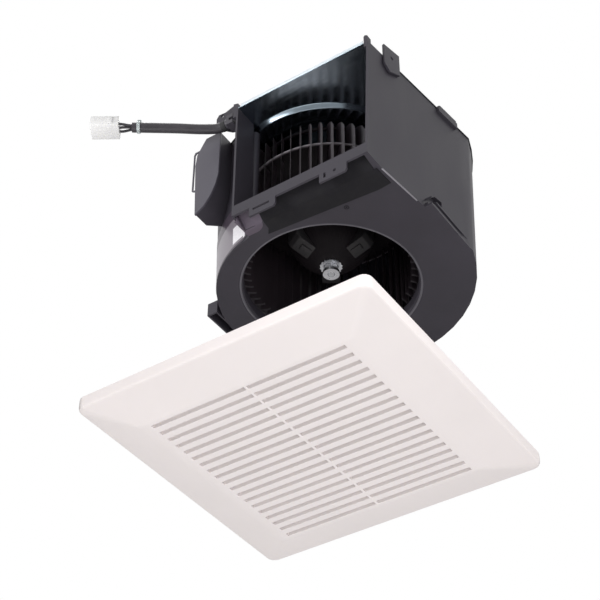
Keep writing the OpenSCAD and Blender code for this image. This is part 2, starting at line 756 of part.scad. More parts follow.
module junction_cover() color("#4a494e") {
    front_profile(box_y0 - cover_t, box_y0, pod_face(-0.4));
    intersection() {
        front_profile(box_y0, box_y0 + lip_d, pod_face(box_wall + fit));
        pod_wedge(box_wall * 1.3 + fit);
    }
    // Bail at the left edge that snaps the cover shut
    difference() {
        front_profile(box_y0 - cover_t, box_y0 - cover_t + bail_t, bail_loop(0));
        front_profile(box_y0 - cover_t - eps, box_y0 - cover_t + bail_t + eps, bail_loop(bail_t));
    }
}

module run_capacitor() color("#d9d4c4") {
    span(box_x0 + 8, box_x1 - 5, box_y0 + lip_d, box_y0 + lip_d + 8, box_foot_h + 60, box_foot_h + 92);
}

splice_r = 3.2;
module wire_splices() color("#e6e2d6") {
    for (x = [box_x0 + 9, box_x0 + 17]) translate([x, box_y0 + lip_d + splice_r, at_h(box_foot_h + 36)]) {
        cylinder(r = splice_r, h = 14, $fn = 32);
        translate([0, 0, 14]) cylinder(r1 = splice_r, r2 = splice_r - 1.2, h = 4, $fn = 32);
    }
}

// A round tube swept along a route, its rings squared to the route about a side vector
function unit(v) = v / norm(v);
function tangent(p, i) = unit(p[min(i + 1, len(p) - 1)] - p[max(i - 1, 0)]);
function tube_ring(p, i, r, sides, side_vector) = let (
        t = tangent(p, i), u = unit(cross(t, side_vector)), v = cross(t, u)
    ) [for (k = [0:sides - 1]) p[i] + r * (cos(k * 360 / sides) * u + sin(k * 360 / sides) * v)];

module tube(p, r, sides, side_vector) {
    n = len(p);
    polyhedron(
        points = [for (i = [0:n - 1]) each tube_ring(p, i, r, sides, side_vector)],
        faces = concat(
            [[for (k = [0:sides - 1]) k]],
            [for (i = [0:n - 2], k = [0:sides - 1]) let (m = (k + 1) % sides)
                each [[i * sides + k, (i + 1) * sides + k, i * sides + m],
                    [i * sides + m, (i + 1) * sides + k, (i + 1) * sides + m]]],
            [[for (k = [sides - 1:-1:0]) (n - 1) * sides + k]]));
}

// Points between the route's own points, on a smooth curve through them
function pick(p, i) = p[max(0, min(i, len(p) - 1))];
function blend_at(p, i, u) = 0.5 * (2 * pick(p, i) + (pick(p, i + 1) - pick(p, i - 1)) * u
    + (2 * pick(p, i - 1) - 5 * pick(p, i) + 4 * pick(p, i + 1) - pick(p, i + 2)) * u * u
    + (3 * pick(p, i) - pick(p, i - 1) - 3 * pick(p, i + 1) + pick(p, i + 2)) * u * u * u);
function smooth(p, steps) = concat(
    [for (i = [0:len(p) - 2], k = [0:steps - 1]) blend_at(p, i, k / steps)], [p[len(p) - 1]]);

// Leads from the motor, over the plate and down into the junction box
leads_r = 2.4;
leads_end = [box_x0 + 18, box_y0 + 17];
leads_route = [
    [-vent_ring, 0, core_top + winding_h + 0.4], [-vent_ring, 0, -4],
    [-vent_ring - 2, -4, 3], [-34, -20, 5],
    [-56, -66, 5], [leads_end[0] + 3, leads_end[1] + 7, 4.5], [leads_end[0], leads_end[1], -1],
    [leads_end[0], leads_end[1], -14]];

module motor_leads() color("#26262a") { tube(smooth(leads_route, 3), leads_r, 8, [0.88, -0.47, 0]); }

// Lead: gland block on the ear, sleeved stretch, tie, loose wires and connector
gland_x0 = -46;
gland_x1 = -34.5;
lead_y = -135.5;
gland_r = ear_y - lead_y - 0.05;
lead_h = casing_h - 8;
lead_angle = 213;
lead_route = [
    [gland_x0 - 0.6, lead_y, at_h(lead_h)], [gland_x0 - 5, lead_y, at_h(lead_h)],
    [-60, -138, at_h(lead_h)], [-76, -147, at_h(lead_h + 1)],
    [-95, -160, at_h(lead_h + 2)], [-115, -173, at_h(lead_h + 3)], [-137, -187.3, at_h(lead_h + 4)]];
sleeve_end = lead_route[len(lead_route) - 1];

module lead_gland() color("#2a2a2d") {
    difference() {
        union() {
            span(gland_x0 + 3, gland_x1, lead_y - 6, ear_y, lead_h - 7, lead_h + 7);
            translate([gland_x0, lead_y, at_h(lead_h)]) rotate([0, 90, 0])
                cylinder(r1 = gland_r - 0.3, r2 = gland_r, h = 4);
        }
        translate([gland_x1 - 5, lead_y - 7, at_h(lead_h - 2)]) cube([eps + 5, 5, 4]);
    }
}

module supply_lead() color("#222225") { tube(smooth(lead_route, 2), lead_r, 12, [0, 0, 1]); }

// Everything past the sleeve lies along the lead's own direction
module along_lead(d) {
    translate([sleeve_end[0], sleeve_end[1], sleeve_end[2]]) rotate([0, 0, lead_angle])
        translate([d, 0, 0]) children();
}

tie_w = 3.6;
module cable_tie() color("#dfe3e4") {
    along_lead(-9) {
        rotate([0, 90, 0]) ring(lead_r + fit, lead_r + 1.6, tie_w);
        translate([-0.6, -3, lead_r + 1.2]) cube([tie_w + 1.2, 6, 4]);
    }
}

wire_run = 14;
wire_core_r = 1.5;
wire_pitch = 5.5;

module lead_wires() color("#2b2b30") {
    along_lead(0) for (k = [-1:1])
        tube(smooth([[0.3, k * 3.1, 0], [3, k * 3.1, 0],
            [wire_run - 4, k * wire_pitch, 0], [wire_run, k * wire_pitch, 0]], 3), wire_core_r, 8, [0, 0, 1]);
}

socket_d = 14;
socket_wall = 2;
module connector_body() color("#eceae4") {
    along_lead(wire_run) difference() {
        union() {
            translate([0, -plug_w / 2, -plug_t / 2]) cube([plug_l, plug_w, plug_t]);
            translate([7, -plug_w / 2 - 1.6, -plug_t / 2 + 2]) cube([5, plug_w + 3.2, plug_t - 4]);
            // Latch arm along the top
            translate([2, -3.5, plug_t / 2 - 0.1]) cube([4, 7, 2.6]);
            translate([2, -3.5, plug_t / 2 + 1.4]) cube([plug_l - 8, 7, 1.6]);
        }
        translate([plug_l - socket_d, -plug_w / 2 + socket_wall, -plug_t / 2 + socket_wall])
            cube([socket_d + eps, plug_w - 2 * socket_wall, plug_t - 2 * socket_wall]);
        for (k = [-1:1]) translate([-eps, k * wire_pitch, 0])
            rotate([0, 90, 0]) cylinder(r = wire_core_r + 0.4, h = 3 + eps, $fn = 24);
    }
}

pin_r = 0.9;
module connector_pins() color("#c8a24a") {
    along_lead(wire_run + plug_l - socket_d) for (k = [-1:1])
        translate([0, k * wire_pitch, 0]) rotate([0, 90, 0]) {
            cylinder(r = pin_r, h = socket_d - 8, $fn = 24);
            translate([0, 0, socket_d - 8]) cylinder(r1 = pin_r, r2 = pin_r * 0.4, h = 1, $fn = 24);
        }
}

// Grille: a square moulding with a flat slotted middle, sloping borders and a rounded rim
grille_x = -15;
grille_y = -10;
face_z = floor_z - hang;
rim_r = 9;
rim_round = 3;
field_margin = 3;
post_w = 14;
post_t = 3.8;
pin_h = 16;
coil_r = coil_in_r + wire_r;
coil_pitch = 2 * wire_r + 1.6;
half_coil = coil_turns * coil_pitch;
coil_start = 1.6;
coil_length = 2 * half_coil + 2 * wire_r + 0.4;

function rounded_rect(w, d, r) = [for (q = [0:3], i = [0:4]) let (a = q * 90 + i * 22.5)
    [(w / 2 - r) * (q == 0 || q == 3 ? 1 : -1), (d / 2 - r) * (q < 2 ? 1 : -1)] + polar(r, a)];
function level(points, z) = [for (p = points) [p[0], p[1], z]];
function square_at(side, r, z) = level(rounded_rect(side, side, r), z);

field_x = rib_w / 2 + slot_l + field_margin;
field_y = (slot_count - 1) / 2 * slot_pitch + slot_w / 2 + field_margin;

post_x = field_x + 1 + post_t + 0.4;

// Rings round the section of the border: up the face, over the rim and down the back
border_rings = [
    square_at(flat_side, 4, 0),
    square_at(grille_side - 2 * rim_round, rim_r, border_rise - 1.5),
    square_at(grille_side - 1.4, rim_r, border_rise),
    square_at(grille_side, rim_r, border_rise + 2.5),
    square_at(grille_side, rim_r, grille_h),
    square_at(grille_side - 2 * grille_wall, rim_r - grille_wall, grille_h),
    square_at(grille_side - 2 * grille_wall, rim_r - grille_wall, border_rise + grille_wall + 1.5),
    square_at(grille_side - 2 * rim_round - 1.6 * grille_wall, rim_r - grille_wall,
        border_rise + grille_wall - 1.2),
    square_at(flat_side - grille_wall, 4, grille_wall),
    level(rounded_rect(2 * field_x, 2 * field_y, 1), grille_wall),
    level(rounded_rect(2 * field_x, 2 * field_y, 1), 0)];

module grille_border() {
    m = len(border_rings);
    n = len(border_rings[0]);
    polyhedron(
        points = [for (ring_points = border_rings) each ring_points],
        faces = [for (i = [0:m - 1], k = [0:n - 1]) let (j = (i + 1) % m, l = (k + 1) % n)
            each [[i * n + k, j * n + k, i * n + l], [i * n + l, j * n + k, j * n + l]]]);
}

// Slots on both sides of the middle rib, as a flat pattern
module slot_pattern() {
    for (i = [0:slot_count - 1], x = [rib_w / 2, -rib_w / 2 - slot_l])
        translate([x, (i - (slot_count - 1) / 2) * slot_pitch - slot_w / 2]) square([slot_l, slot_w]);
}

module grille_panel() color("#ece8e4") {
    translate([grille_x, grille_y, face_z]) {
        linear_extrude(height = bar_d) difference() {
            square([2 * field_x + 2, 2 * field_y + 2], center = true);
            slot_pattern();
        }
        grille_border();
    }
}

// Bracket that carries a spring: a foot on the grille's back, an upright and a cross pin
module spring_bracket() {
    translate([post_x - post_t, -post_w / 2 - 6, grille_wall]) cube([post_t, post_w + 12, 2]);
    translate([post_x - post_t, -post_w / 2, grille_wall]) cube([post_t, post_w, pin_h + 5 - grille_wall]);
    translate([post_x - 0.1, 0, pin_h]) rotate([0, 90, 0])
        cylinder(r = coil_in_r - 0.7, h = coil_start + coil_length + 1.2, $fn = 48);
    translate([post_x + coil_start + coil_length + 1, 0, pin_h]) rotate([0, 90, 0])
        cylinder(r = coil_r + 0.6, h = 1.6, $fn = 48);
}

module right_spring_bracket() color("#d9d6d2") {
    translate([grille_x, grille_y, face_z]) spring_bracket();
}

module left_spring_bracket() color("#d9d6d2") {
    translate([grille_x, grille_y, face_z]) mirror([1, 0, 0]) spring_bracket();
}

// Torsion springs: each is one wire, parted in the middle of its coil into the two arms that swing
rear_end = arm_rise - 90;
front_end = -arm_rise - 90;
arm_tip = 8;
function coil_point(t) = [coil_pitch * (rear_end - t) / 360, coil_r * cos(t), coil_r * sin(t)];
coil_step = 30;
function half_coil_points(from, to) = [for (i = [0:abs(to - from) / coil_step])
    coil_point(from + i * coil_step * sign(to - from))];
function arm_points(end, s) = let (root = coil_point(end), d = [0, s * cos(arm_rise), sin(arm_rise)])
    [root + d * arm_l * 0.5, root + d * (arm_l - arm_tip),
        root + d * (arm_l - arm_tip / 2) + [0, 0, 1.5], root + d * arm_l + [0, 0, 6]];
rear_coil = half_coil_points(rear_end, rear_end - 360 * coil_turns);
rear_wire = concat([for (i = [3:-1:0]) arm_points(rear_end, 1)[i]], rear_coil);
far_end = front_end - 720 * coil_turns;
front_coil = half_coil_points(far_end + 360 * coil_turns, far_end);
front_wire = concat(front_coil, arm_points(far_end, -1));
least_gap = min([for (i = [0:len(rear_coil) - 8], j = [i + 7:len(rear_coil) - 1])
    norm(rear_coil[i] - rear_coil[j])]) - 2 * wire_r;
echo(least_gap_of_spring_wire = least_gap);

module spring_wire(points) {
    translate([grille_x, grille_y, face_z + pin_h])
        translate([post_x + coil_start + wire_r, 0, 0]) tube(points, wire_r, 6, [1, 0, 0]);
}

module mirrored_spring_wire(points) {
    translate([grille_x, grille_y, face_z + pin_h])
        mirror([1, 0, 0]) translate([post_x + coil_start + wire_r, 0, 0])
            tube(points, wire_r, 6, [1, 0, 0]);
}

module right_spring_front_arm() color("#c2c6ca") { spring_wire(front_wire); }
module right_spring_rear_arm() color("#c2c6ca") { spring_wire(rear_wire); }
module left_spring_front_arm() color("#c2c6ca") { mirrored_spring_wire(front_wire); }
module left_spring_rear_arm() color("#c2c6ca") { mirrored_spring_wire(rear_wire); }

scroll_casing();
side_bracket();
ear_bracket();
motor_plate();
plate_screws();
motor_upper_bell();
motor_lower_bell();
stator_core();
upper_winding();
lower_winding();
upper_bearing();
lower_bearing();
motor_grommets();
motor_screws();
bell_screws();
motor_shaft();
rotor_core();
thrust_collar();
hub_bush();
impeller();
star_washer();
shaft_nut();
junction_box();
junction_cover();
run_capacitor();
wire_splices();
motor_leads();
lead_gland();
supply_lead();
cable_tie();
lead_wires();
connector_body();
connector_pins();
grille_panel();
left_spring_bracket();
right_spring_bracket();
left_spring_front_arm();
left_spring_rear_arm();
right_spring_front_arm();
right_spring_rear_arm();
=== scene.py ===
"""Looks of a ceiling exhaust fan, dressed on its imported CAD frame.

The blower hangs above its square grille, as if both were lowered out of the ceiling. Lengths are in
metres, apart from the corners of sections, outlines and patches, which are in millimetres. Z is up
along the wheel's axis, and the outlet blows towards -Y.
"""

import functools
import logging
import math
from dataclasses import dataclass
from enum import Enum
from typing import Sequence

import bmesh
import bpy
from mathutils import Matrix, Vector


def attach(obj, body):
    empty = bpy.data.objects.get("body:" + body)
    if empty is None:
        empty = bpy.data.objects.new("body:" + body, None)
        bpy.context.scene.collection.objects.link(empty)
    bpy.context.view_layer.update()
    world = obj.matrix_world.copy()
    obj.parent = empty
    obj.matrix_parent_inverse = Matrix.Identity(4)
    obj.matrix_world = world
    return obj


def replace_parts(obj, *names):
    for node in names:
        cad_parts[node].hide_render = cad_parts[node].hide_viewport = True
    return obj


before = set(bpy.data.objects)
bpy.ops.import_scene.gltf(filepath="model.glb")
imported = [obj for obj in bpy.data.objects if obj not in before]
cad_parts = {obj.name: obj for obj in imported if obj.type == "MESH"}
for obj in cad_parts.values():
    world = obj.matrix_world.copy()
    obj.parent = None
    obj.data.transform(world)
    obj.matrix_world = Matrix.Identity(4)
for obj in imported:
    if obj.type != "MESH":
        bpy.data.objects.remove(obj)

LOG = logging.getLogger("exhaust_fan")
MM = 0.001
# Height of the underside of the casing's floor.
FLOOR_Z = -0.169

Pair = tuple[float, float]
Point = tuple[float, float, float]
Box = tuple[float, float, float, float]
Colour = tuple[float, float, float]
Socket = bpy.types.NodeSocket


class Body(Enum):
    """The CAD bodies that a piece can ride on."""

    BLOWER = "blower"
    WHEEL = "wheel"
    GRILLE = "grille"
    LEFT_FRONT = "left_front_spring"
    LEFT_REAR = "left_rear_spring"
    RIGHT_FRONT = "right_front_spring"
    RIGHT_REAR = "right_rear_spring"


class Side(Enum):
    """Left or right half of the grille, as a sign on X."""

    LEFT = -1
    RIGHT = 1


class Way(Enum):
    """Up or down from the motor's core, as a sign on Z."""

    UP = 1
    DOWN = -1


class Flag(Enum):
    """What a flag card does with a lamp's light: keeps it off some nodes, or on them alone."""

    OFF = "EXCLUDE"
    ALONE = "INCLUDE"


# Materials


class Recipe:
    """A material under construction, laid out from its surface shader."""

    def __init__(self, name: str) -> None:
        """Starts an empty material with one principled shader.

        Args:
            name: The material's name.
        """
        self.material = bpy.data.materials.new(name)
        self.material.use_nodes = True
        self.tree = self.material.node_tree
        self.tree.nodes.clear()
        self.shader = self.add("ShaderNodeBsdfPrincipled")
        output = self.add("ShaderNodeOutputMaterial")
        self.join(self.shader.outputs["BSDF"], output.inputs["Surface"])
        self.place = self.add("ShaderNodeTexCoord").outputs["Object"]

    def add(self, kind: str, **settings: object) -> bpy.types.Node:
        """Adds a node and sets its properties.

        Args:
            kind: The node's type name.
            **settings: Properties of the node.

        Returns:
            The new node.
        """
        node = self.tree.nodes.new(kind)
        for key, value in settings.items():
            setattr(node, key, value)
        return node

    def join(self, source: Socket, target: Socket) -> None:
        """Links two sockets."""
        self.tree.links.new(source, target)

    def fix(self, **values: float) -> None:
        """Sets the shader's own sockets, named with underscores for spaces."""
        for key, value in values.items():
            self.shader.inputs[key.replace("_", " ")].default_value = value

    def stretched(self, scale: Point) -> Socket:
        """Object coordinates, scaled along each axis.

        Args:
            scale: The three factors.

        Returns:
            The scaled coordinates.
        """
        node = self.add("ShaderNodeMapping")
        node.inputs["Scale"].default_value = scale
        self.join(self.place, node.inputs["Vector"])
        return node.outputs["Vector"]

    def noise(
        self, scale: float, detail: float = 4.0, rough: float = 0.55, place: Socket | None = None
    ) -> Socket:
        """A noise pattern.

        Args:
            scale: Features to the metre.
            detail: Octaves of finer noise.
            rough: Strength of the finer octaves.
            place: Coordinates, or None for the plain ones.

        Returns:
            The noise as a number from 0 to 1.
        """
        node = self.add("ShaderNodeTexNoise")
        node.inputs["Scale"].default_value = scale
        node.inputs["Detail"].default_value = detail
        node.inputs["Roughness"].default_value = rough
        self.join(place or self.place, node.inputs["Vector"])
        return node.outputs["Fac"]

    def cells(self, scale: float) -> bpy.types.Node:
        """A pattern of irregular cells.

        Args:
            scale: Cells to the metre.

        Returns:
            The pattern's node, with a colour for each cell and the distance from its middle.
        """
        node = self.add("ShaderNodeTexVoronoi", feature="F1")
        node.inputs["Scale"].default_value = scale
        self.join(self.place, node.inputs["Vector"])
        return node

    def bands(self, scale: float, axis: str, distortion: float = 0.0) -> Socket:
        """Parallel bands across an axis.

        Args:
            scale: Density of the bands.
            axis: "X", "Y" or "Z".
            distortion: How far the bands waver.

        Returns:
            The bands as a number from 0 to 1.
        """
        node = self.add("ShaderNodeTexWave", wave_type="BANDS", bands_direction=axis)
        node.inputs["Scale"].default_value = scale
        node.inputs["Distortion"].default_value = distortion
        self.join(self.place, node.inputs["Vector"])
        return node.outputs["Fac"]

    def spread(self, value: Socket, low: float, high: float, start: float = 0.3, end: float = 0.7) -> Socket:
        """Maps a pattern to a range of numbers.

        Args:
            value: The pattern.
            low: The number at the start.
            high: The number at the end.
            start: The pattern's value at the start.
            end: The pattern's value at the end.

        Returns:
            The mapped number.
        """
        node = self.add("ShaderNodeMapRange")
        for key, number in (("From Min", start), ("From Max", end), ("To Min", low), ("To Max", high)):
            node.inputs[key].default_value = number
        self.join(value, node.inputs["Value"])
        return node.outputs["Result"]

    def reckon(self, operation: str, first: Socket, second: Socket) -> Socket:
        """Joins two numbers into one.

        Args:
            operation: The maths node's operation.
            first: The first number.
            second: The second number.

        Returns:
            The result.
        """
        node = self.add("ShaderNodeMath", operation=operation)
        self.join(first, node.inputs[0])
        self.join(second, node.inputs[1])
        return node.outputs[0]

    def between(self, value: Socket, first: Colour, second: Colour) -> Socket:
        """A colour that runs from one to another as a pattern rises.

        Args:
            value: The pattern.
            first: The colour at 0.
            second: The colour at 1.

        Returns:
            The mixed colour.
        """
        node = self.add("ShaderNodeMix", data_type="RGBA")
        colours = [s for s in node.inputs if s.type == "RGBA"]
        colours[0].default_value = (*first, 1.0)
        colours[1].default_value = (*second, 1.0)
        self.join(value, node.inputs["Factor"])
        return next(s for s in node.outputs if s.type == "RGBA")

    def paint(self, colour: Socket) -> None:
        """Gives the shader its base colour."""
        self.join(colour, self.shader.inputs["Base Color"])

    def gloss(self, roughness: Socket) -> None:
        """Gives the shader its roughness."""
        self.join(roughness, self.shader.inputs["Roughness"])

    def glow_through(self, weight: float, reach: Point) -> None:
        """Lets light pass a little way under the surface.

        Args:
            weight: Share of the light that goes in.
            reach: How far each colour gets.
        """
        self.fix(Subsurface_Weight=weight, Subsurface_Scale=1.0)
        self.shader.inputs["Subsurface Radius"].default_value = reach

    def relief(self, *layers: tuple[Socket, float]) -> None:
        """Stacks bumps on the surface.

        Args:
            *layers: Each a height pattern and the depth of its full swing.
        """
        normal = None
        for height, depth in layers:
            node = self.add("ShaderNodeBump")
            node.inputs["Strength"].default_value = 1.0
            node.inputs["Distance"].default_value = depth
            self.join(height, node.inputs["Height"])
            if normal is not None:
                self.join(normal, node.inputs["Normal"])
            normal = node.outputs["Normal"]
        if normal is not None:
            self.join(normal, self.shader.inputs["Normal"])


def shade(colour: Colour, factor: float) -> Colour:
    """A colour made lighter or darker by a factor."""
    return (min(1.0, colour[0] * factor), min(1.0, colour[1] * factor), min(1.0, colour[2] * factor))


@dataclass(frozen=True)
class Finish:
    """A surface finish, whose material is made once."""

    name: str
    colour: Colour

    @functools.cache
    def material(self) -> bpy.types.Material:
        """Makes the material on the first call, and hands the same one out later.

        Returns:
            The material.
        """
        recipe = Recipe(self.name)
        self.lay(recipe)
        return recipe.material

    def lay(self, recipe: Recipe) -> None:
        """Lays the finish out in a recipe, which each kind of finish does in its own way."""
        raise NotImplementedError(type(self).__name__)


@dataclass(frozen=True)
class MouldedPlastic(Finish):
    """Injection-moulded plastic with a spark-eroded grain and faint flow marks."""

    roughness: float = 0.5
    specular: float = 0.5
    grain: float = 1500.0
    grain_depth: float = 0.06 * MM
    mottle: float = 0.12
    flow: float = 14.0
    flow_depth: float = 0.4 * MM
    translucence: float = 0.0

    def lay(self, recipe: Recipe) -> None:
        """Lays out the grain over the flow marks.

        Args:
            recipe: The recipe to fill.
        """
        fine = recipe.noise(self.grain, 3.0, 0.6)
        flow = recipe.noise(self.flow, 5.0, 0.6, recipe.stretched((1.0, 1.0, 0.45)))
        dark, light = shade(self.colour, 1.0 - self.mottle), shade(self.colour, 1.0 + self.mottle)
        recipe.paint(recipe.between(recipe.spread(flow, 0.0, 1.0), dark, light))
        recipe.gloss(recipe.spread(flow, self.roughness - 0.05, self.roughness + 0.06))
        recipe.relief((flow, self.flow_depth), (fine, self.grain_depth))
        recipe.fix(Specular_IOR_Level=self.specular, IOR=1.5)
        if self.translucence:
            recipe.glow_through(self.translucence, (4.0 * MM, 4.0 * MM, 3.5 * MM))


@dataclass(frozen=True)
class WheelPlastic(Finish):
    """Black moulded plastic with a painted highlight on the vanes' outer tips, paler too towards their lower
    ends, broken up by noise.
    """

    # Colour of the painted highlight on the vanes' tips, and the radius where it starts.
    tip: Colour
    highlight_radius: float
    foot: float
    roughness: float = 0.40

    def lay(self, recipe: Recipe) -> None:
        """Lays out the painted highlight by radius and the paler lower ends by height.

        Args:
            recipe: The recipe to fill.
        """
        flat = recipe.add("ShaderNodeVectorMath", operation="LENGTH")
        recipe.join(recipe.stretched((1.0, 1.0, 0.0)), flat.inputs[0])
        height = recipe.add("ShaderNodeSeparateXYZ")
        recipe.join(recipe.place, height.inputs[0])
        radius, rise = flat.outputs["Value"], height.outputs["Z"]
        # Painted highlight: the vanes' outer edges are painted paler, as if catching the light; the lower
        # ends pale by height.
        lit_tips = recipe.spread(radius, 0.0, 1.0, self.highlight_radius, self.highlight_radius + 1.8 * MM)
        feet = recipe.spread(rise, 0.0, 0.8, self.foot + 1.6 * MM, self.foot + 0.6 * MM)
        dust = recipe.noise(140.0, 5.0, 0.65)
        highlight_and_pale_feet = recipe.reckon("MAXIMUM", lit_tips, feet)
        mottled_highlight_and_pale_feet = recipe.reckon("MULTIPLY", highlight_and_pale_feet, recipe.spread(dust, 0.7, 1.0))
        recipe.paint(recipe.between(mottled_highlight_and_pale_feet, self.colour, self.tip))
        recipe.gloss(recipe.spread(dust, self.roughness - 0.05, self.roughness + 0.10))
        recipe.relief((recipe.noise(1100.0, 3.0, 0.6), 0.05 * MM))
        recipe.fix(Specular_IOR_Level=0.4)


@dataclass(frozen=True)
class GalvanisedSheet(Finish):
    """Zinc-coated steel sheet with a fine spangle and rolling streaks."""

    light: Colour
    roughness: float = 0.3
    spangle: float = 130.0

    def lay(self, recipe: Recipe) -> None:
        """Lays out the spangle and the streaks.

        Args:
            recipe: The recipe to fill.
        """
        cells = recipe.cells(self.spangle)
        tone = recipe.add("ShaderNodeSeparateColor")
        recipe.join(cells.outputs["Color"], tone.inputs["Color"])
        streak = recipe.noise(30.0, 4.0, 0.6, recipe.stretched((1.0, 9.0, 1.0)))
        recipe.paint(recipe.between(tone.outputs["Red"], self.colour, self.light))
        recipe.gloss(recipe.spread(streak, self.roughness - 0.04, self.roughness + 0.06))
        recipe.relief((streak, 0.08 * MM), (cells.outputs["Distance"], 0.008 * MM))
        recipe.fix(Metallic=1.0)


@dataclass(frozen=True)
class WorkedMetal(Finish):
    """Metal that was turned, drawn or plated, with fine tool lines across one axis."""

    roughness: float = 0.28
    lines: float = 900.0
    axis: str = "Z"
    line_depth: float = 0.015 * MM
    tarnish: float = 0.2

    def lay(self, recipe: Recipe) -> None:
        """Lays out the tool lines over a slight tarnish.

        Args:
            recipe: The recipe to fill.
        """
        stain = recipe.noise(90.0, 5.0, 0.65)
        lines = recipe.bands(self.lines, self.axis, 1.5)
        dull = shade(self.colour, 1.0 - self.tarnish)
        recipe.paint(recipe.between(recipe.spread(stain, 0.0, 1.0), self.colour, dull))
        recipe.gloss(recipe.spread(stain, self.roughness - 0.05, self.roughness + 0.12))
        recipe.relief((lines, self.line_depth), (stain, 0.08 * MM))
        recipe.fix(Metallic=1.0)


@dataclass(frozen=True)
class LaminatedSteel(Finish):
    """A pack of thin varnished steel sheets, seen as fine lines round its side."""

    sheet: float = 0.5 * MM

    def lay(self, recipe: Recipe) -> None:
        """Lays out the sheets' edges under patchy varnish.

        Args:
            recipe: The recipe to fill.
        """
        edges = recipe.bands(0.32 / self.sheet, "Z")
        varnish = recipe.noise(60.0, 4.0, 0.6)
        recipe.paint(recipe.between(recipe.spread(edges, 0.0, 1.0), shade(self.colour, 0.55), self.colour))
        recipe.gloss(recipe.spread(varnish, 0.32, 0.5))
        recipe.relief((edges, 0.08 * MM), (varnish, 0.1 * MM))
        recipe.fix(Metallic=0.85)


@dataclass(frozen=True)
class SoftSleeve(Finish):
    """Soft vinyl or rubber with faint wrinkles and a dusty sheen."""

    roughness: float = 0.42
    wrinkle: float = 260.0

    def lay(self, recipe: Recipe) -> None:
        """Lays out the wrinkles under the dust.

        Args:
            recipe: The recipe to fill.
        """
        wrinkle = recipe.noise(self.wrinkle, 3.0, 0.5)
        dust = recipe.noise(70.0, 5.0, 0.6)
        dusty = shade(self.colour, 1.7)
        recipe.paint(recipe.between(recipe.spread(dust, 0.0, 1.0, 0.35, 0.8), self.colour, dusty))
        recipe.gloss(recipe.spread(dust, self.roughness - 0.06, self.roughness + 0.12))
        recipe.relief((wrinkle, 0.2 * MM), (recipe.noise(2600.0, 2.0), 0.03 * MM))
        recipe.fix(Specular_IOR_Level=0.5)


@dataclass(frozen=True)
class ClearNylon(Finish):
    """Milky or clear nylon that lets some light through."""

    clearness: float = 0.2
    roughness: float = 0.25

    def lay(self, recipe: Recipe) -> None:
        """Lays out the clouds inside the nylon.

        Args:
            recipe: The recipe to fill.
        """
        cloud = recipe.noise(180.0, 3.0, 0.5)
        recipe.paint(recipe.between(recipe.spread(cloud, 0.0, 1.0), shade(self.colour, 0.94), self.colour))
        recipe.gloss(recipe.spread(cloud, self.roughness - 0.04, self.roughness + 0.08))
        recipe.relief((cloud, 0.1 * MM), (recipe.noise(1800.0, 2.0), 0.02 * MM))
        recipe.fix(Transmission_Weight=self.clearness, IOR=1.5)
        recipe.glow_through(0.35, (3.0 * MM, 3.0 * MM, 2.8 * MM))


@dataclass(frozen=True)
class EnamelledWire(Finish):
    """Copper winding wire under amber varnish."""

    def lay(self, recipe: Recipe) -> None:
        """Lays out the varnish over the copper.

        Args:
            recipe: The recipe to fill.
        """
        varnish = recipe.noise(220.0, 4.0, 0.6)
        recipe.paint(recipe.between(recipe.spread(varnish, 0.0, 1.0), shade(self.colour, 0.6), self.colour))
        recipe.gloss(recipe.spread(varnish, 0.22, 0.42))
        recipe.relief((recipe.noise(900.0, 2.0), 0.06 * MM))
        recipe.fix(Metallic=0.75, Coat_Weight=0.4, Coat_Roughness=0.15)


@dataclass(frozen=True)
class LabelStock(Finish):
    """Smooth label film or paper with a faint fibre."""

    def lay(self, recipe: Recipe) -> None:
        """Lays out the fibre.

        Args:
            recipe: The recipe to fill.
        """
        fibre = recipe.noise(420.0, 4.0, 0.6)
        dark, light = shade(self.colour, 0.9), shade(self.colour, 1.06)
        recipe.paint(recipe.between(recipe.spread(fibre, 0.0, 1.0), dark, light))
        recipe.gloss(recipe.spread(fibre, 0.3, 0.42))
        recipe.relief((recipe.noise(60.0, 3.0), 0.3 * MM), (fibre, 0.02 * MM))
        recipe.fix(Specular_IOR_Level=0.5)


CASING = MouldedPlastic("casing_grey", (0.044, 0.040, 0.051), roughness=0.50, specular=0.32)
BOX = MouldedPlastic("box_grey", (0.050, 0.046, 0.057), roughness=0.44, specular=0.45)
COVER = MouldedPlastic("cover_grey", (0.084, 0.079, 0.098), roughness=0.42, specular=0.5)
# The two bead greys are painted highlights on the inlet's lip and the right wall's foot.
HIGHLIGHT_BEAD = MouldedPlastic("painted_highlight_grey", (0.105, 0.100, 0.118), roughness=0.30, specular=0.6)
PALE_HIGHLIGHT_BEAD = MouldedPlastic("pale_painted_highlight_grey", (0.27, 0.26, 0.29), roughness=0.30, specular=0.6)
# The tip colour is a painted highlight on the vanes' outer edges.
WHEEL = WheelPlastic(
    "wheel_black", (0.064, 0.050, 0.060), tip=(0.21, 0.195, 0.21), highlight_radius=96.2 * MM,
    foot=FLOOR_Z + 19.0 * MM,
)
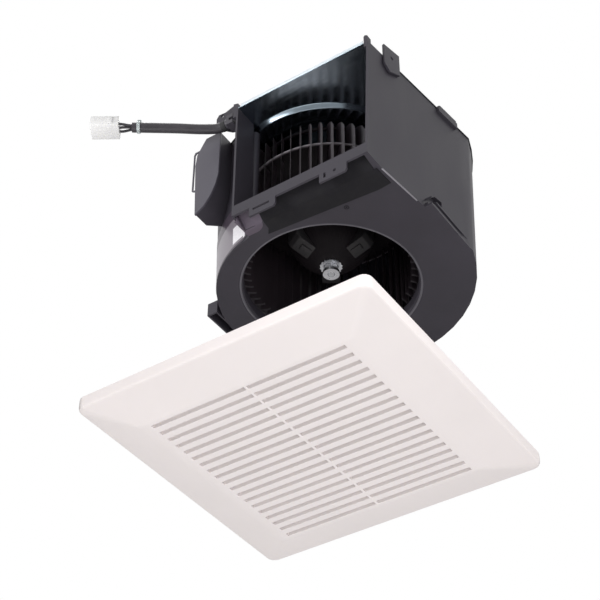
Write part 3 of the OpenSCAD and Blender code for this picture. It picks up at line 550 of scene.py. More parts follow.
# The hub, its blocks and the head ring are darker copies of the wheel's plastic: painted shade inside the
# bell.
SHADED_HUB = MouldedPlastic("shaded_hub_black", (0.0095, 0.0075, 0.009), roughness=0.5, specular=0.12, grain=1100.0)
SHADED_HUB_BLOCK = MouldedPlastic(
    "shaded_hub_block_black", (0.022, 0.0205, 0.022), roughness=0.42, specular=0.3, grain=1100.0
)
GRILLE = MouldedPlastic(
    "grille_white", (0.808, 0.752, 0.744), roughness=0.50, specular=0.15, grain=1300.0,
    grain_depth=0.02 * MM, mottle=0.012, translucence=0.16,
)
NYLON = MouldedPlastic(
    "natural_nylon", (0.66, 0.62, 0.53), roughness=0.45, specular=0.4, mottle=0.05, translucence=0.2
)
CAPACITOR = MouldedPlastic("capacitor_cream", (0.60, 0.54, 0.40), roughness=0.3, specular=0.5, mottle=0.04)
PLATE = GalvanisedSheet("galvanised_plate", (0.37, 0.45, 0.52), light=(0.40, 0.48, 0.55), roughness=0.19)
# Paler copy of the plate's zinc for the hem: a painted highlight along the plate's front edge.
HEM_HIGHLIGHT = GalvanisedSheet("plate_hem_painted_highlight_zinc", (0.74, 0.80, 0.84), light=(0.80, 0.86, 0.90), roughness=0.42)
# Near-black finish used as painted shade: the pad behind the flange and the line along the casing's top edge.
# The gate mark uses it too.
SHADE_FOAM = SoftSleeve("painted_shade_foam", (0.0068, 0.0062, 0.0084), roughness=0.9, wrinkle=700.0)
BELL = WorkedMetal("motor_bell_steel", (0.40, 0.41, 0.42), roughness=0.36, lines=60.0)
ZINC = WorkedMetal("bright_zinc", (0.72, 0.73, 0.76), roughness=0.24, lines=1200.0)
GROUND = WorkedMetal("ground_shaft", (0.62, 0.63, 0.65), roughness=0.2, lines=1600.0)
BRONZE = WorkedMetal("sintered_bronze", (0.50, 0.34, 0.14), roughness=0.5, lines=300.0)
BRASS = WorkedMetal("plated_brass", (0.72, 0.52, 0.20), roughness=0.25, lines=1400.0)
BUSH = WorkedMetal("turned_aluminium", (0.62, 0.63, 0.64), roughness=0.3, lines=700.0)
SPRING = WorkedMetal("spring_wire", (0.58, 0.59, 0.61), roughness=0.27, lines=300.0, axis="X", tarnish=0.3)
CORE = LaminatedSteel("core_sheets", (0.30, 0.31, 0.33))
RUBBER = SoftSleeve("black_rubber", (0.012, 0.012, 0.013), roughness=0.62)
SLEEVE = SoftSleeve("black_sleeve", (0.030, 0.027, 0.032), roughness=0.42)
WIRE = SoftSleeve("wire_jacket", (0.022, 0.021, 0.026), roughness=0.35, wrinkle=500.0)
MILKY = ClearNylon("milky_nylon", (0.96, 0.95, 0.945), clearness=0.04)
CLEAR = ClearNylon("clear_nylon", (0.78, 0.86, 0.86), clearness=0.5, roughness=0.18)
COPPER = EnamelledWire("enamelled_copper", (0.52, 0.20, 0.08))
LABEL_FILM = LabelStock("blank_label_film", (0.066, 0.052, 0.070))
LABEL_FIELD = LabelStock("blank_label_field", (0.235, 0.21, 0.24))
LABEL_PANEL = LabelStock("blank_label_panel", (0.93, 0.91, 0.96))
# Lighter copy of the label film for its end under the outlet: painted light where the recess gets little.
LIT_LABEL_END = LabelStock("blank_label_end_film", (0.098, 0.078, 0.106))


# Dressing of CAD nodes


def dress(finish: Finish, *nodes: str) -> None:
    """Gives CAD nodes their finish.

    Args:
        finish: The finish.
        *nodes: The CAD nodes.
    """
    for node in nodes:
        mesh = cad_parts[node].data
        mesh.materials.clear()
        mesh.materials.append(finish.material())
        LOG.info("dressed %s", node)


def soften(width: float, *nodes: str, segments: int = 2, angle: float = 32.0) -> None:
    """Rounds CAD nodes' sharp edges with modifiers, which leave their meshes alone.

    Args:
        width: Width of the rounding.
        *nodes: The CAD nodes.
        segments: Steps across the rounding.
        angle: Least angle in degrees of an edge that is rounded.
    """
    for node in nodes:
        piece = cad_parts[node]
        weld = piece.modifiers.new("weld", "WELD")
        weld.merge_threshold = 0.01 * MM
        bevel = piece.modifiers.new("edge", "BEVEL")
        bevel.width = width
        bevel.segments = segments
        bevel.limit_method = "ANGLE"
        bevel.angle_limit = math.radians(angle)
        bevel.use_clamp_overlap = True
        bevel.harden_normals = False
        piece.data.shade_smooth()
        even = piece.modifiers.new("even", "WEIGHTED_NORMAL")
        even.mode = "FACE_AREA"
        even.weight = 50
        even.keep_sharp = False


# Pieces and their meshes


def placed(name: str, data: bpy.types.ID) -> bpy.types.Object:
    """Puts data into the scene as an object at the origin.

    Args:
        name: The object's name.
        data: A mesh, a curve, a lamp or a camera.

    Returns:
        The object.
    """
    thing = bpy.data.objects.new(name, data)
    bpy.context.scene.collection.objects.link(thing)
    return thing


def finished(
    name: str,
    bm: bmesh.types.BMesh,
    finish: Finish,
    body: Body = Body.BLOWER,
    smooth: float = 40.0,
    extra: Sequence[Finish] = (),
) -> bpy.types.Object:
    """Turns a bmesh into a piece that rides on a body.

    Args:
        name: The piece's name.
        bm: Its mesh, which is freed.
        finish: Its finish.
        body: The body that carries it.
        smooth: Least angle in degrees of an edge that stays sharp.
        extra: Further finishes, in the order of the faces' material indices.

    Returns:
        The piece.
    """
    mesh = bpy.data.meshes.new(name)
    for face in bm.faces:
        face.smooth = True
    for edge in bm.edges:
        edge.smooth = len(edge.link_faces) == 2 and edge.calc_face_angle(0.0) < math.radians(smooth)
    bm.to_mesh(mesh)
    bm.free()
    for coat in (finish, *extra):
        mesh.materials.append(coat.material())
    piece = placed(name, mesh)
    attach(piece, body.value)
    LOG.info("built %s, %d faces", name, len(mesh.polygons))
    return piece


def vertices_in(geometry: Sequence[object]) -> list[bmesh.types.BMVert]:
    """The vertices among an operator's results."""
    return [part for part in geometry if isinstance(part, bmesh.types.BMVert)]


def joined(bm: bmesh.types.BMesh, part: bmesh.types.BMesh) -> list[bmesh.types.BMVert]:
    """Adds one mesh to another.

    Args:
        bm: The mesh to add to.
        part: The mesh that is added, which is freed.

    Returns:
        The added vertices.
    """
    known = {v: bm.verts.new(v.co) for v in part.verts}
    for face in part.faces:
        bm.faces.new([known[v] for v in face.verts]).material_index = face.material_index
    part.free()
    return list(known.values())


def round_edges(
    bm: bmesh.types.BMesh, edges: Sequence[bmesh.types.BMEdge], width: float, segments: int = 2
) -> None:
    """Rounds some edges of a mesh.

    Args:
        bm: The mesh.
        edges: The edges.
        width: Width of the rounding.
        segments: Steps across the rounding.
    """
    bmesh.ops.bevel(
        bm, geom=edges, offset=width, offset_type="OFFSET", segments=segments, profile=0.5,
        affect="EDGES", material=-1, clamp_overlap=True,
    )


def thicken(bm: bmesh.types.BMesh, thickness: float) -> None:
    """Gives an open sheet its thickness.

    Args:
        bm: The sheet.
        thickness: How thick it gets.
    """
    bmesh.ops.recalc_face_normals(bm, faces=bm.faces)
    bmesh.ops.solidify(bm, geom=bm.faces[:], thickness=thickness)
    bmesh.ops.recalc_face_normals(bm, faces=bm.faces)


def turned(bm: bmesh.types.BMesh, profile: Sequence[Pair], steps: int = 96) -> None:
    """Spins a closed profile right round the Z axis.

    Args:
        bm: The mesh to add to.
        profile: The profile's corners, each a radius and a height.
        steps: Steps in the full turn.
    """
    corners = [bm.verts.new((r, 0.0, z)) for r, z in profile]
    edges = [bm.edges.new(ends) for ends in zip(corners, corners[1:] + corners[:1])]
    bmesh.ops.spin(
        bm, geom=corners + edges, cent=(0, 0, 0), axis=(0, 0, 1), dvec=(0, 0, 0),
        angle=math.tau, steps=steps, use_merge=True, use_duplicate=False,
    )
    bmesh.ops.remove_doubles(bm, verts=bm.verts, dist=0.0001 * MM)
    bmesh.ops.recalc_face_normals(bm, faces=bm.faces)


def prism(
    bm: bmesh.types.BMesh, points: Sequence[Point], reach: Point, round_by: float = 0.0
) -> list[bmesh.types.BMVert]:
    """A flat outline drawn out into a solid, with its edges rounded.

    Args:
        bm: The mesh to add to.
        points: The outline.
        reach: How far and which way it is drawn out.
        round_by: Width of the rounding.

    Returns:
        The solid's vertices.
    """
    part = bmesh.new()
    face = part.faces.new([part.verts.new(p) for p in points])
    out = bmesh.ops.extrude_face_region(part, geom=[face])
    bmesh.ops.translate(part, verts=vertices_in(out["geom"]), vec=reach)
    bmesh.ops.recalc_face_normals(part, faces=part.faces)
    if round_by:
        round_edges(part, list(part.edges), round_by)
    return joined(bm, part)


def block(bm: bmesh.types.BMesh, low: Point, high: Point, round_by: float = 0.0) -> None:
    """A box between two corners, with its edges rounded.

    Args:
        bm: The mesh to add to.
        low: The lowest corner.
        high: The highest corner.
        round_by: Width of the rounding.
    """
    (x0, y0, z0), (x1, y1, z1) = low, high
    prism(bm, [(x0, y0, z0), (x1, y0, z0), (x1, y1, z0), (x0, y1, z0)], (0.0, 0.0, z1 - z0), round_by)


def through(route: Sequence[Point], steps: int) -> list[Vector]:
    """Points on a smooth curve through a route's own points.

    Args:
        route: The points.
        steps: Points on each stretch between two of them.

    Returns:
        The curve's points.
    """
    p = [Vector(q) for q in route]
    last = len(p) - 1

    def at(i: int) -> Vector:
        """A route point, held at the ends."""
        return p[max(0, min(i, last))]

    out = []
    for i in range(last):
        for k in range(steps):
            u = k / steps
            out.append(0.5 * (
                2 * at(i) + (at(i + 1) - at(i - 1)) * u
                + (2 * at(i - 1) - 5 * at(i) + 4 * at(i + 1) - at(i + 2)) * u ** 2
                + (3 * at(i) - at(i - 1) - 3 * at(i + 1) + at(i + 2)) * u ** 3
            ))
    return out + [p[last].copy()]


def drawn(
    name: str,
    points: Sequence[Vector],
    radius: float,
    finish: Finish,
    body: Body = Body.BLOWER,
    sides: int = 4,
    closed: bool = False,
) -> bpy.types.Object:
    """A round wire, tube or sleeve along a line of points.

    Args:
        name: The piece's name.
        points: The line.
        radius: Radius of the wire.
        finish: Its finish.
        body: The body that carries it.
        sides: Roundness of the section.
        closed: True for an endless loop.

    Returns:
        The piece.
    """
    curve = bpy.data.curves.new(name, "CURVE")
    curve.dimensions = "3D"
    curve.bevel_depth = radius
    curve.bevel_resolution = sides
    curve.use_fill_caps = not closed
    spline = curve.splines.new("POLY")
    spline.points.add(len(points) - 1)
    for target, p in zip(spline.points, points):
        target.co = (*p, 1.0)
    spline.use_cyclic_u = closed
    spline.use_smooth = True
    curve.materials.append(finish.material())
    piece = placed(name, curve)
    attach(piece, body.value)
    LOG.info("drew %s, %d points", name, len(points))
    return piece


# Studio


@dataclass(frozen=True)
class SoftBox:
    """A square lamp: its place, the side of its face, its power in watts and what it points at."""

    name: str
    place: Point
    size: float
    watts: float
    aim: Point = (0.0, -0.02, -0.2)

    def hang(self) -> bpy.types.Object:
        """Hangs the lamp in the scene.

        Returns:
            The lamp.
        """
        data = bpy.data.lights.new(self.name, "AREA")
        data.shape = "SQUARE"
        data.size = self.size
        data.energy = self.watts
        lamp = placed(self.name, data)
        turn = (Vector(self.aim) - Vector(self.place)).to_track_quat("-Z", "Y")
        lamp.matrix_world = Matrix.Translation(self.place) @ turn.to_matrix().to_4x4()
        return lamp


@dataclass
class Studio:
    """Camera, lamps, white surround and floor."""

    lens: float = 90.0
    sensor: float = 36.0
    yaw: float = 124.44
    pitch: float = 41.30
    roll: float = 0.56
    eye: Point = (0.64515, -0.99949, -1.23133)
    floor_z: float = -2.6
    floor_radius: float = 14.0
    ambient: float = 0.40
    front: SoftBox = SoftBox("front_box", (-0.95, -2.20, -0.42), 1.1, 25.0)
    rim: SoftBox = SoftBox("rim_box", (1.02, -1.09, 0.03), 0.4, 16.5, aim=(0.0, -0.02, -0.37))
    under: SoftBox = SoftBox("under_box", (0.1, -0.5, -2.3), 1.8, 20.0)
    right: SoftBox = SoftBox("right_box", (2.1, -0.9, -1.6), 1.2, 6.0)
    fill: SoftBox = SoftBox("camera_box", (0.95, -1.15, -1.25), 0.6, 6.5)
    top: SoftBox = SoftBox("top_box", (-0.4, 0.6, 2.2), 1.6, 22.0)

    def camera(self) -> None:
        """Places the camera, which looks up at the fan."""
        yaw, pitch, roll = (math.radians(a) for a in (self.yaw, self.pitch, self.roll))
        ahead = Vector((math.cos(yaw) * math.cos(pitch), math.sin(yaw) * math.cos(pitch), math.sin(pitch)))
        right = Vector((math.sin(yaw), -math.cos(yaw), 0.0))
        over = right.cross(ahead)
        across = right * math.cos(roll) + over * math.sin(roll)
        over = over * math.cos(roll) - right * math.sin(roll)
        data = bpy.data.cameras.new("camera")
        data.lens = self.lens
        data.sensor_width = self.sensor
        data.clip_start = 0.05
        data.clip_end = 60.0
        camera = placed("camera", data)
        turn = Matrix((across, over, -ahead)).transposed()
        camera.matrix_world = Matrix.Translation(self.eye) @ turn.to_4x4()
        bpy.context.scene.camera = camera

    def surround(self) -> None:
        """A world that is white to the eye, to gloss and through clear stuff, and grey as a lamp."""
        world = bpy.data.worlds.new("surround")
        world.use_nodes = True
        tree = world.node_tree
        tree.nodes.clear()
        path = tree.nodes.new("ShaderNodeLightPath")
        seen = path.outputs["Is Camera Ray"]
        for ray in ("Is Transmission Ray", "Is Glossy Ray"):
            either = tree.nodes.new("ShaderNodeMath")
            either.operation = "MAXIMUM"
            tree.links.new(seen, either.inputs[0])
            tree.links.new(path.outputs[ray], either.inputs[1])
            seen = either.outputs[0]
        mix = tree.nodes.new("ShaderNodeMixShader")
        tree.links.new(seen, mix.inputs["Fac"])
        for shader, strength in zip(mix.inputs[1:], (self.ambient, 1.0)):
            white = tree.nodes.new("ShaderNodeBackground")
            white.inputs["Color"].default_value = (1.0, 1.0, 1.0, 1.0)
            white.inputs["Strength"].default_value = strength
            tree.links.new(white.outputs[0], shader)
        output = tree.nodes.new("ShaderNodeOutputWorld")
        tree.links.new(mix.outputs[0], output.inputs["Surface"])
        bpy.context.scene.world = world

    def flag(self, lamp: bpy.types.Object, card: Flag, *nodes: str) -> None:
        """Sets up a flag card before a lamp.

        Args:
            lamp: The lamp.
            card: Whether the card keeps the light off the nodes or on them alone.
            *nodes: The CAD nodes.
        """
        receivers = bpy.data.collections.new(f"{lamp.name}_flag")
        lamp.light_linking.receiver_collection = receivers
        for node in nodes:
            receivers.objects.link(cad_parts[node])
        for link in receivers.collection_objects:
            link.light_linking.link_state = card.value

    def floor(self) -> None:
        """A wide pale floor far below, that keeps the fan's shadow."""
        mesh = bpy.data.meshes.new("studio_floor")
        bm = bmesh.new()
        bmesh.ops.create_circle(bm, cap_ends=True, segments=96, radius=self.floor_radius)
        bmesh.ops.translate(bm, verts=bm.verts, vec=(0.0, 0.0, self.floor_z))
        bm.to_mesh(mesh)
        bm.free()
        recipe = Recipe("studio_floor")
        recipe.paint(recipe.between(recipe.noise(0.8), (0.86, 0.86, 0.86), (0.90, 0.90, 0.90)))
        recipe.fix(Roughness=0.9)
        mesh.materials.append(recipe.material)
        placed("studio_floor", mesh)

    def build(self) -> None:
        """Sets up the whole studio."""
        bpy.context.scene.view_settings.view_transform = "Standard"
        self.camera()
        self.surround()
        self.floor()
        self.flag(self.front.hang(), Flag.OFF, "grille_panel")
        self.flag(self.rim.hang(), Flag.ALONE, "grille_panel")
        self.under.hang()
        self.right.hang()
        self.fill.hang().visible_glossy = False
        self.top.hang()


# Supply lead


@dataclass
class SupplyLead:
    """Sleeved lead with its boot, tie, loose wires and plug-in connector."""

    radius: float = 5.6 * MM
    angle: float = 213.0
    wire_run: float = 14.0 * MM
    wire_radius: float = 1.5 * MM
    bunch_pitch: float = 3.1 * MM
    wire_pitch: float = 5.5 * MM
    boot_gap: float = 0.05 * MM
    boot_edge: tuple[Pair, ...] = (
        (0.0, 0.0), (0.25, 0.0), (0.3, 1.4), (0.15, 1.7), (0.3, 2.0), (0.3, 3.4), (0.15, 3.7), (0.25, 4.0),
        (0.2, 5.4), (0.0, 5.6),
    )
    tie_back: float = 9.0 * MM
    tie_width: float = 3.6 * MM
    tie_gap: float = 0.25 * MM
    tie_teeth: int = 5
    tie_pitch: float = 0.55 * MM
    plug: Point = (31.0 * MM, 22.0 * MM, 14.0 * MM)
    socket_depth: float = 14.0 * MM
    wall: float = 2.0 * MM
    latch: float = 3.5 * MM
    ribs: tuple[float, ...] = (-7.4, -4.9, 4.9, 7.4)
    route: tuple[Point, ...] = (
        (-0.0466, -0.1355, -0.009), (-0.051, -0.1355, -0.009), (-0.060, -0.138, -0.009),
        (-0.076, -0.147, -0.008), (-0.095, -0.160, -0.007), (-0.115, -0.173, -0.006),
        (-0.137, -0.1873, -0.005),
    )

    def along(self) -> Matrix:
        """The place past the sleeve's end, with X along the lead."""
        return Matrix.Translation(self.route[-1]) @ Matrix.Rotation(math.radians(self.angle), 4, "Z")

    def boot(self) -> None:
        """Builds the ribbed boot where the sleeve leaves the gland."""
        bm = bmesh.new()
        inner = self.radius + self.boot_gap
        turned(bm, [(inner + proud * MM, z * MM) for proud, z in self.boot_edge], 32)
        start = Vector(self.route[0])
        turn = (Vector(self.route[1]) - start).normalized().to_track_quat("Z", "Y")
        place = Matrix.Translation(start) @ turn.to_matrix().to_4x4()
        bmesh.ops.transform(bm, matrix=place, verts=bm.verts)
        finished("lead_boot", bm, RUBBER, smooth=50.0)

    def tie(self) -> bpy.types.Object:
        """Builds the clear tie round the sleeve, with its strap, lock head, cut tail and teeth.

        Returns:
            The tie.
        """
        bm = bmesh.new()
        inner, w = self.radius + self.tie_gap, self.tie_width
        top = inner + 0.9 * MM
        turned(bm, [
            (inner, 0.0), (top, 0.0), (inner + 1.15 * MM, 0.5 * MM), (inner + 1.15 * MM, w - 0.5 * MM),
            (top, w), (inner, w),
        ], 40)
        bmesh.ops.rotate(bm, verts=bm.verts, cent=(0, 0, 0), matrix=Matrix.Rotation(math.pi / 2, 3, "Y"))
        head = ((-0.6 * MM, -2.8 * MM, top - 0.2 * MM), (w + 0.6 * MM, 2.2 * MM, top + 3.6 * MM))
        block(bm, *head, 0.45 * MM)
        tail = ((0.4 * MM, -0.5 * MM, top + 3.2 * MM), (w - 0.4 * MM, 0.7 * MM, top + 4.4 * MM))
        block(bm, *tail, 0.2 * MM)
        for k in range(self.tie_teeth):
            foot = top + 0.5 * MM + self.tie_pitch * k
            block(bm, (0.8 * MM, 2.0 * MM, foot), (w - 0.8 * MM, 2.5 * MM, foot + 0.3 * MM), 0.08 * MM)
        place = self.along() @ Matrix.Translation((-self.tie_back, 0, 0))
        bmesh.ops.transform(bm, matrix=place, verts=bm.verts)
        piece = finished("lead_tie", bm, CLEAR)
        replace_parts(piece, "cable_tie")
        return piece

    def wires(self) -> list[bpy.types.Object]:
        """Draws the three loose wires, which fan out from the sleeve to the connector.

        Returns:
            The wires.
        """
        place, run, made = self.along(), self.wire_run, []
        for index, k in enumerate((-1, 0, 1)):
            near, far = k * self.bunch_pitch, k * self.wire_pitch
            lift = (0.5 if k == 0 else -0.3) * MM
            line = through([
                (-2.0 * MM, near, 0.0), (1.0 * MM, near, 0.0), (4.0 * MM, near + 0.25 * (far - near), lift),
                (run - 4.0 * MM, far - 0.1 * (far - near), lift), (run, far, 0.0), (run + 2.4 * MM, far, 0.0),
            ], 4)
            made.append(drawn(
                f"loose_wire_{index + 1}", [place @ p for p in line], self.wire_radius,
                (WIRE, SLEEVE, WIRE)[index], sides=3,
            ))
        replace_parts(made[0], "lead_wires")
        return made

    def shell(self) -> bmesh.types.BMesh:
        """The connector's box, with a deep mouth in its far end.

        Returns:
            Its mesh.
        """
        shell = bmesh.new()
        bmesh.ops.create_cube(shell, size=1.0)
        bmesh.ops.scale(shell, vec=self.plug, verts=shell.verts)
        bmesh.ops.translate(shell, vec=(self.plug[0] / 2, 0, 0), verts=shell.verts)
        mouth = max(shell.faces, key=lambda f: f.calc_center_median().x)
        bmesh.ops.inset_individual(shell, faces=[mouth], thickness=self.wall)
        out = bmesh.ops.extrude_face_region(shell, geom=[mouth])
        bmesh.ops.translate(shell, vec=(-self.socket_depth, 0, 0), verts=vertices_in(out["geom"]))
        bmesh.ops.delete(shell, geom=[mouth], context="FACES_ONLY")
        sharp = [e for e in shell.edges if len(e.link_faces) == 2 and e.calc_face_angle(0.0) > 0.5]
        round_edges(shell, sharp, 0.5 * MM)
        return shell

    def connector(self) -> bpy.types.Object:
        """Builds the milky connector: shell, flange, latch, ribs and the wires' seats.

        Returns:
            The connector.
        """
        bm = self.shell()
        length, half, top = self.plug[0], self.plug[1] / 2, self.plug[2] / 2
        side, flange = half + 1.6 * MM, top - 2 * MM
        block(bm, (7 * MM, -side, -flange), (12 * MM, side, flange), 0.5 * MM)
        latch, end = self.latch, length - 6 * MM
        block(bm, (2 * MM, -latch, top - 0.3 * MM), (6 * MM, latch, top + 2.6 * MM), 0.4 * MM)
        block(bm, (2 * MM, -latch, top + 1.4 * MM), (end, latch, top + 3.0 * MM), 0.4 * MM)
        block(bm, (end - 3 * MM, -latch, top + 0.7 * MM), (end, latch, top + 1.8 * MM), 0.3 * MM)
        for y in self.ribs:
            near, far = (y - 0.5) * MM, (y + 0.5) * MM
            block(bm, (13 * MM, near, top - 0.3 * MM), (length - 2 * MM, far, top + 0.5 * MM), 0.2 * MM)
        for k in (-1, 0, 1):
            y, seat = k * self.wire_pitch, 2.3 * MM
            block(bm, (-0.1 * MM, y - seat, -seat), (1.0 * MM, y + seat, seat), 0.3 * MM)
        place = self.along() @ Matrix.Translation((self.wire_run, 0, 0))
        bmesh.ops.transform(bm, matrix=place, verts=bm.verts)
        piece = finished("connector_shell", bm, MILKY)
        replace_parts(piece, "connector_body")
        return piece

    def build(self) -> None:
        line = through(self.route, 5)
        sleeve = drawn("lead_sleeve", line, self.radius, SLEEVE, sides=7)
        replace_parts(sleeve, "supply_lead")
        dress(BRASS, "connector_pins")
        carried = [self.tie(), *self.wires(), self.connector(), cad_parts["connector_pins"]]
        self.boot()


# Wheel


@dataclass
class Wheel:
    """Squirrel-cage wheel: curved vanes, three rings and a bell-shaped hub with three blocks.

    The hub's heights above the casing's floor and its radii are in millimetres.
    """

    outer: float = 101.0 * MM
    inner: float = 86.0 * MM
    count: int = 54
    foot: float = FLOOR_Z + 19.0 * MM
    height: float = 138.0 * MM
    lag: float = 4.6
    bow: float = 1.5
    thick: float = 1.3 * MM
    crowding: float = 0.8
    tip_round: float = 11.0 * MM
    vane_edge: float = 0.3 * MM
    ring_edge: float = 0.4 * MM
    hub_low: float = 31.0
    hub_high: float = 119.0
    hub_wide: float = 50.0
    bore: float = 9.0
    flutes: int = 48
    flute_depth: float = 0.8 * MM
    spokes: tuple[float, ...] = (-117.0, 3.0, 123.0)
    block_width: float = 20.0 * MM
    rib_width: float = 8.0 * MM

    def vane(self, bm: bmesh.types.BMesh) -> None:
        """Adds one curved vane whose outer upper corner is rounded off.

        Args:
            bm: The mesh to add to, which is empty.
        """
        bmesh.ops.create_grid(bm, x_segments=5, y_segments=6, size=0.5)
        width = self.outer - self.inner
        for v in bm.verts:
            u, w = v.co.x + 0.5, (v.co.y + 0.5) ** self.crowding
            drop = max(0.0, u * width - (width - self.tip_round))
            top = self.height - self.tip_round + math.sqrt(max(0.0, self.tip_round ** 2 - drop ** 2))
            r, a = self.inner + u * width, math.radians(self.lag * u ** self.bow)
            v.co = (r * math.cos(a), r * math.sin(a), self.foot + w * top)
        bmesh.ops.solidify(bm, geom=bm.faces[:], thickness=self.thick)
        bmesh.ops.translate(bm, verts=bm.verts, vec=(0.0, self.thick / 2, 0.0))
        bmesh.ops.recalc_face_normals(bm, faces=bm.faces)
        rim = [e for e in bm.edges if e.calc_face_angle(0.0) > 1.0]
        round_edges(bm, rim, self.vane_edge, 1)

    def rings(self) -> bmesh.types.BMesh:
        """The rings at the vanes' feet and heads and, as a thin line, where the hub meets them.

        Returns:
            Their mesh, with the head ring's faces in the hub's darker finish, which is painted shade.
        """
        rings = bmesh.new()
        foot, head, web = self.foot, self.foot + self.height, FLOOR_Z + self.hub_high * MM
        c = self.ring_edge
        for r0, r1, low, high in (
            (self.outer - 2 * MM, self.outer + 0.4 * MM, foot, foot + 4 * MM),
            (self.inner - 0.6 * MM, self.inner + 2 * MM, head - 4 * MM, head),
            (self.outer - 5.6 * MM, self.outer - 2.6 * MM, web, web + 1.8 * MM),
        ):
            turned(rings, [
                (r0 + c, low), (r1 - c, low), (r1, low + c), (r1, high - c), (r1 - c, high), (r0 + c, high),
                (r0, high - c), (r0, low + c),
            ], 2 * self.count)
        for face in rings.faces:
            face.material_index = int(face.calc_center_median().z > head - 5 * MM)
        return rings

    def cage(self) -> bpy.types.Object:
        """Builds the vanes with their rings.

        Returns:
            The cage.
        """
        bm = bmesh.new()
        self.vane(bm)
        first = bm.verts[:] + bm.edges[:] + bm.faces[:]
        for i in range(1, self.count):
            copy = bmesh.ops.duplicate(bm, geom=first)["geom"]
            turn = Matrix.Rotation(math.tau * i / self.count, 3, "Z")
            bmesh.ops.rotate(bm, verts=vertices_in(copy), cent=(0, 0, 0), matrix=turn)
        joined(bm, self.rings())
        return finished("wheel_cage", bm, WHEEL, Body.WHEEL, extra=(SHADED_HUB,))

    def bell(self) -> list[Pair]:
        """Corners of the bell's outside.

        Returns:
            The corners from foot to brim, each a radius and a height.
        """
        h, w, b = self.hub_low, self.hub_high, self.hub_wide
        return [
            (b - 20, h + 13), (b - 10, h + 25), (b - 4, h + 38), (b, w - 34), (b + 4, w - 18), (b + 9, w - 7),
        ]

    def profile(self) -> list[Pair]:
        """Section of the bell-shaped hub: its boss, its bell and the disc between the vanes.

        Returns:
            The section's corners, each a radius and a height.
        """
        h, w, b = self.hub_low, self.hub_high, self.hub_wide
        points = [
            (self.bore, h), (13.0, h), (17.0, h + 3), *self.bell(), (b + 20, w - 1), (86.6, w), (95.6, w),
            (95.6, w + 1.8), (86.6, w + 2.2), (b + 19.4, w + 1.2), (b + 7.4, w - 5.2), (b + 1.8, w - 17),
            (b - 2.3, w - 33.5), (b - 6.2, h + 39), (b - 11.8, h + 26.6), (b - 21.3, h + 15.2),
            (16.0, h + 5.6), (13.5, h + 8), (13.0, h + 24), (self.bore, h + 24),
        ]
        return [(r * MM, FLOOR_Z + z * MM) for r, z in points]

    def hub(self) -> bpy.types.Object:
        """Builds the bell-shaped hub, with upright flutes on the bell's outside.

        Returns:
            The hub.
        """
        bm = bmesh.new()
        turned(bm, self.profile(), 3 * self.flutes)
        outside = [(r * MM, FLOOR_Z + z * MM) for r, z in self.bell()]
        for v in bm.verts:
            r = math.hypot(v.co.x, v.co.y)
            turn = math.degrees(math.atan2(v.co.y, v.co.x)) * self.flutes / 360.0
            on_bell = any(math.dist((r, v.co.z), corner) < 0.1 * MM for corner in outside)
            if on_bell and abs(turn - round(turn)) < 0.1:
                v.co.x *= 1.0 + self.flute_depth / r
                v.co.y *= 1.0 + self.flute_depth / r
        return finished("wheel_hub", bm, SHADED_HUB, Body.WHEEL, smooth=50.0)

    def blocks(self) -> bpy.types.Object:
        """Builds the three moulded blocks that stiffen the hub's outside, each with a rib.

        Returns:
            The blocks.
        """
        bm = bmesh.new()
        h, w, b = self.hub_low, self.hub_high, self.hub_wide
        section = (
            (24.0, h + 7.5), (b - 6, h + 15), (b - 2, h + 20), (b - 1.5, w - 33), (b - 5.5, h + 37),
            (b - 12, h + 25), (b - 21.5, h + 14),
        )
        rib = ((26, h + 7.2), (38, h + 11.0), (38, h + 16.0), (26, h + 12.0))
        for angle in self.spokes:
            made = []
            for corners, width, edge in (
                (section, self.block_width, 0.8 * MM), (rib, self.rib_width, 0.5 * MM),
            ):
                points = [(r * MM, -width / 2, FLOOR_Z + z * MM) for r, z in corners]
                made += prism(bm, points, (0.0, width, 0.0), edge)
            turn = Matrix.Rotation(math.radians(angle), 3, "Z")
            bmesh.ops.rotate(bm, verts=made, cent=(0, 0, 0), matrix=turn)
        return finished("wheel_blocks", bm, SHADED_HUB_BLOCK, Body.WHEEL)

    def build(self) -> None:
        """Builds the wheel in place of its CAD node, and dresses what clamps it."""
        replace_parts(self.cage(), "impeller")
        self.hub()
        self.blocks()
        dress(BUSH, "hub_bush")
        dress(ZINC, "star_washer", "shaft_nut")
        dress(GROUND, "motor_shaft")


# Motor


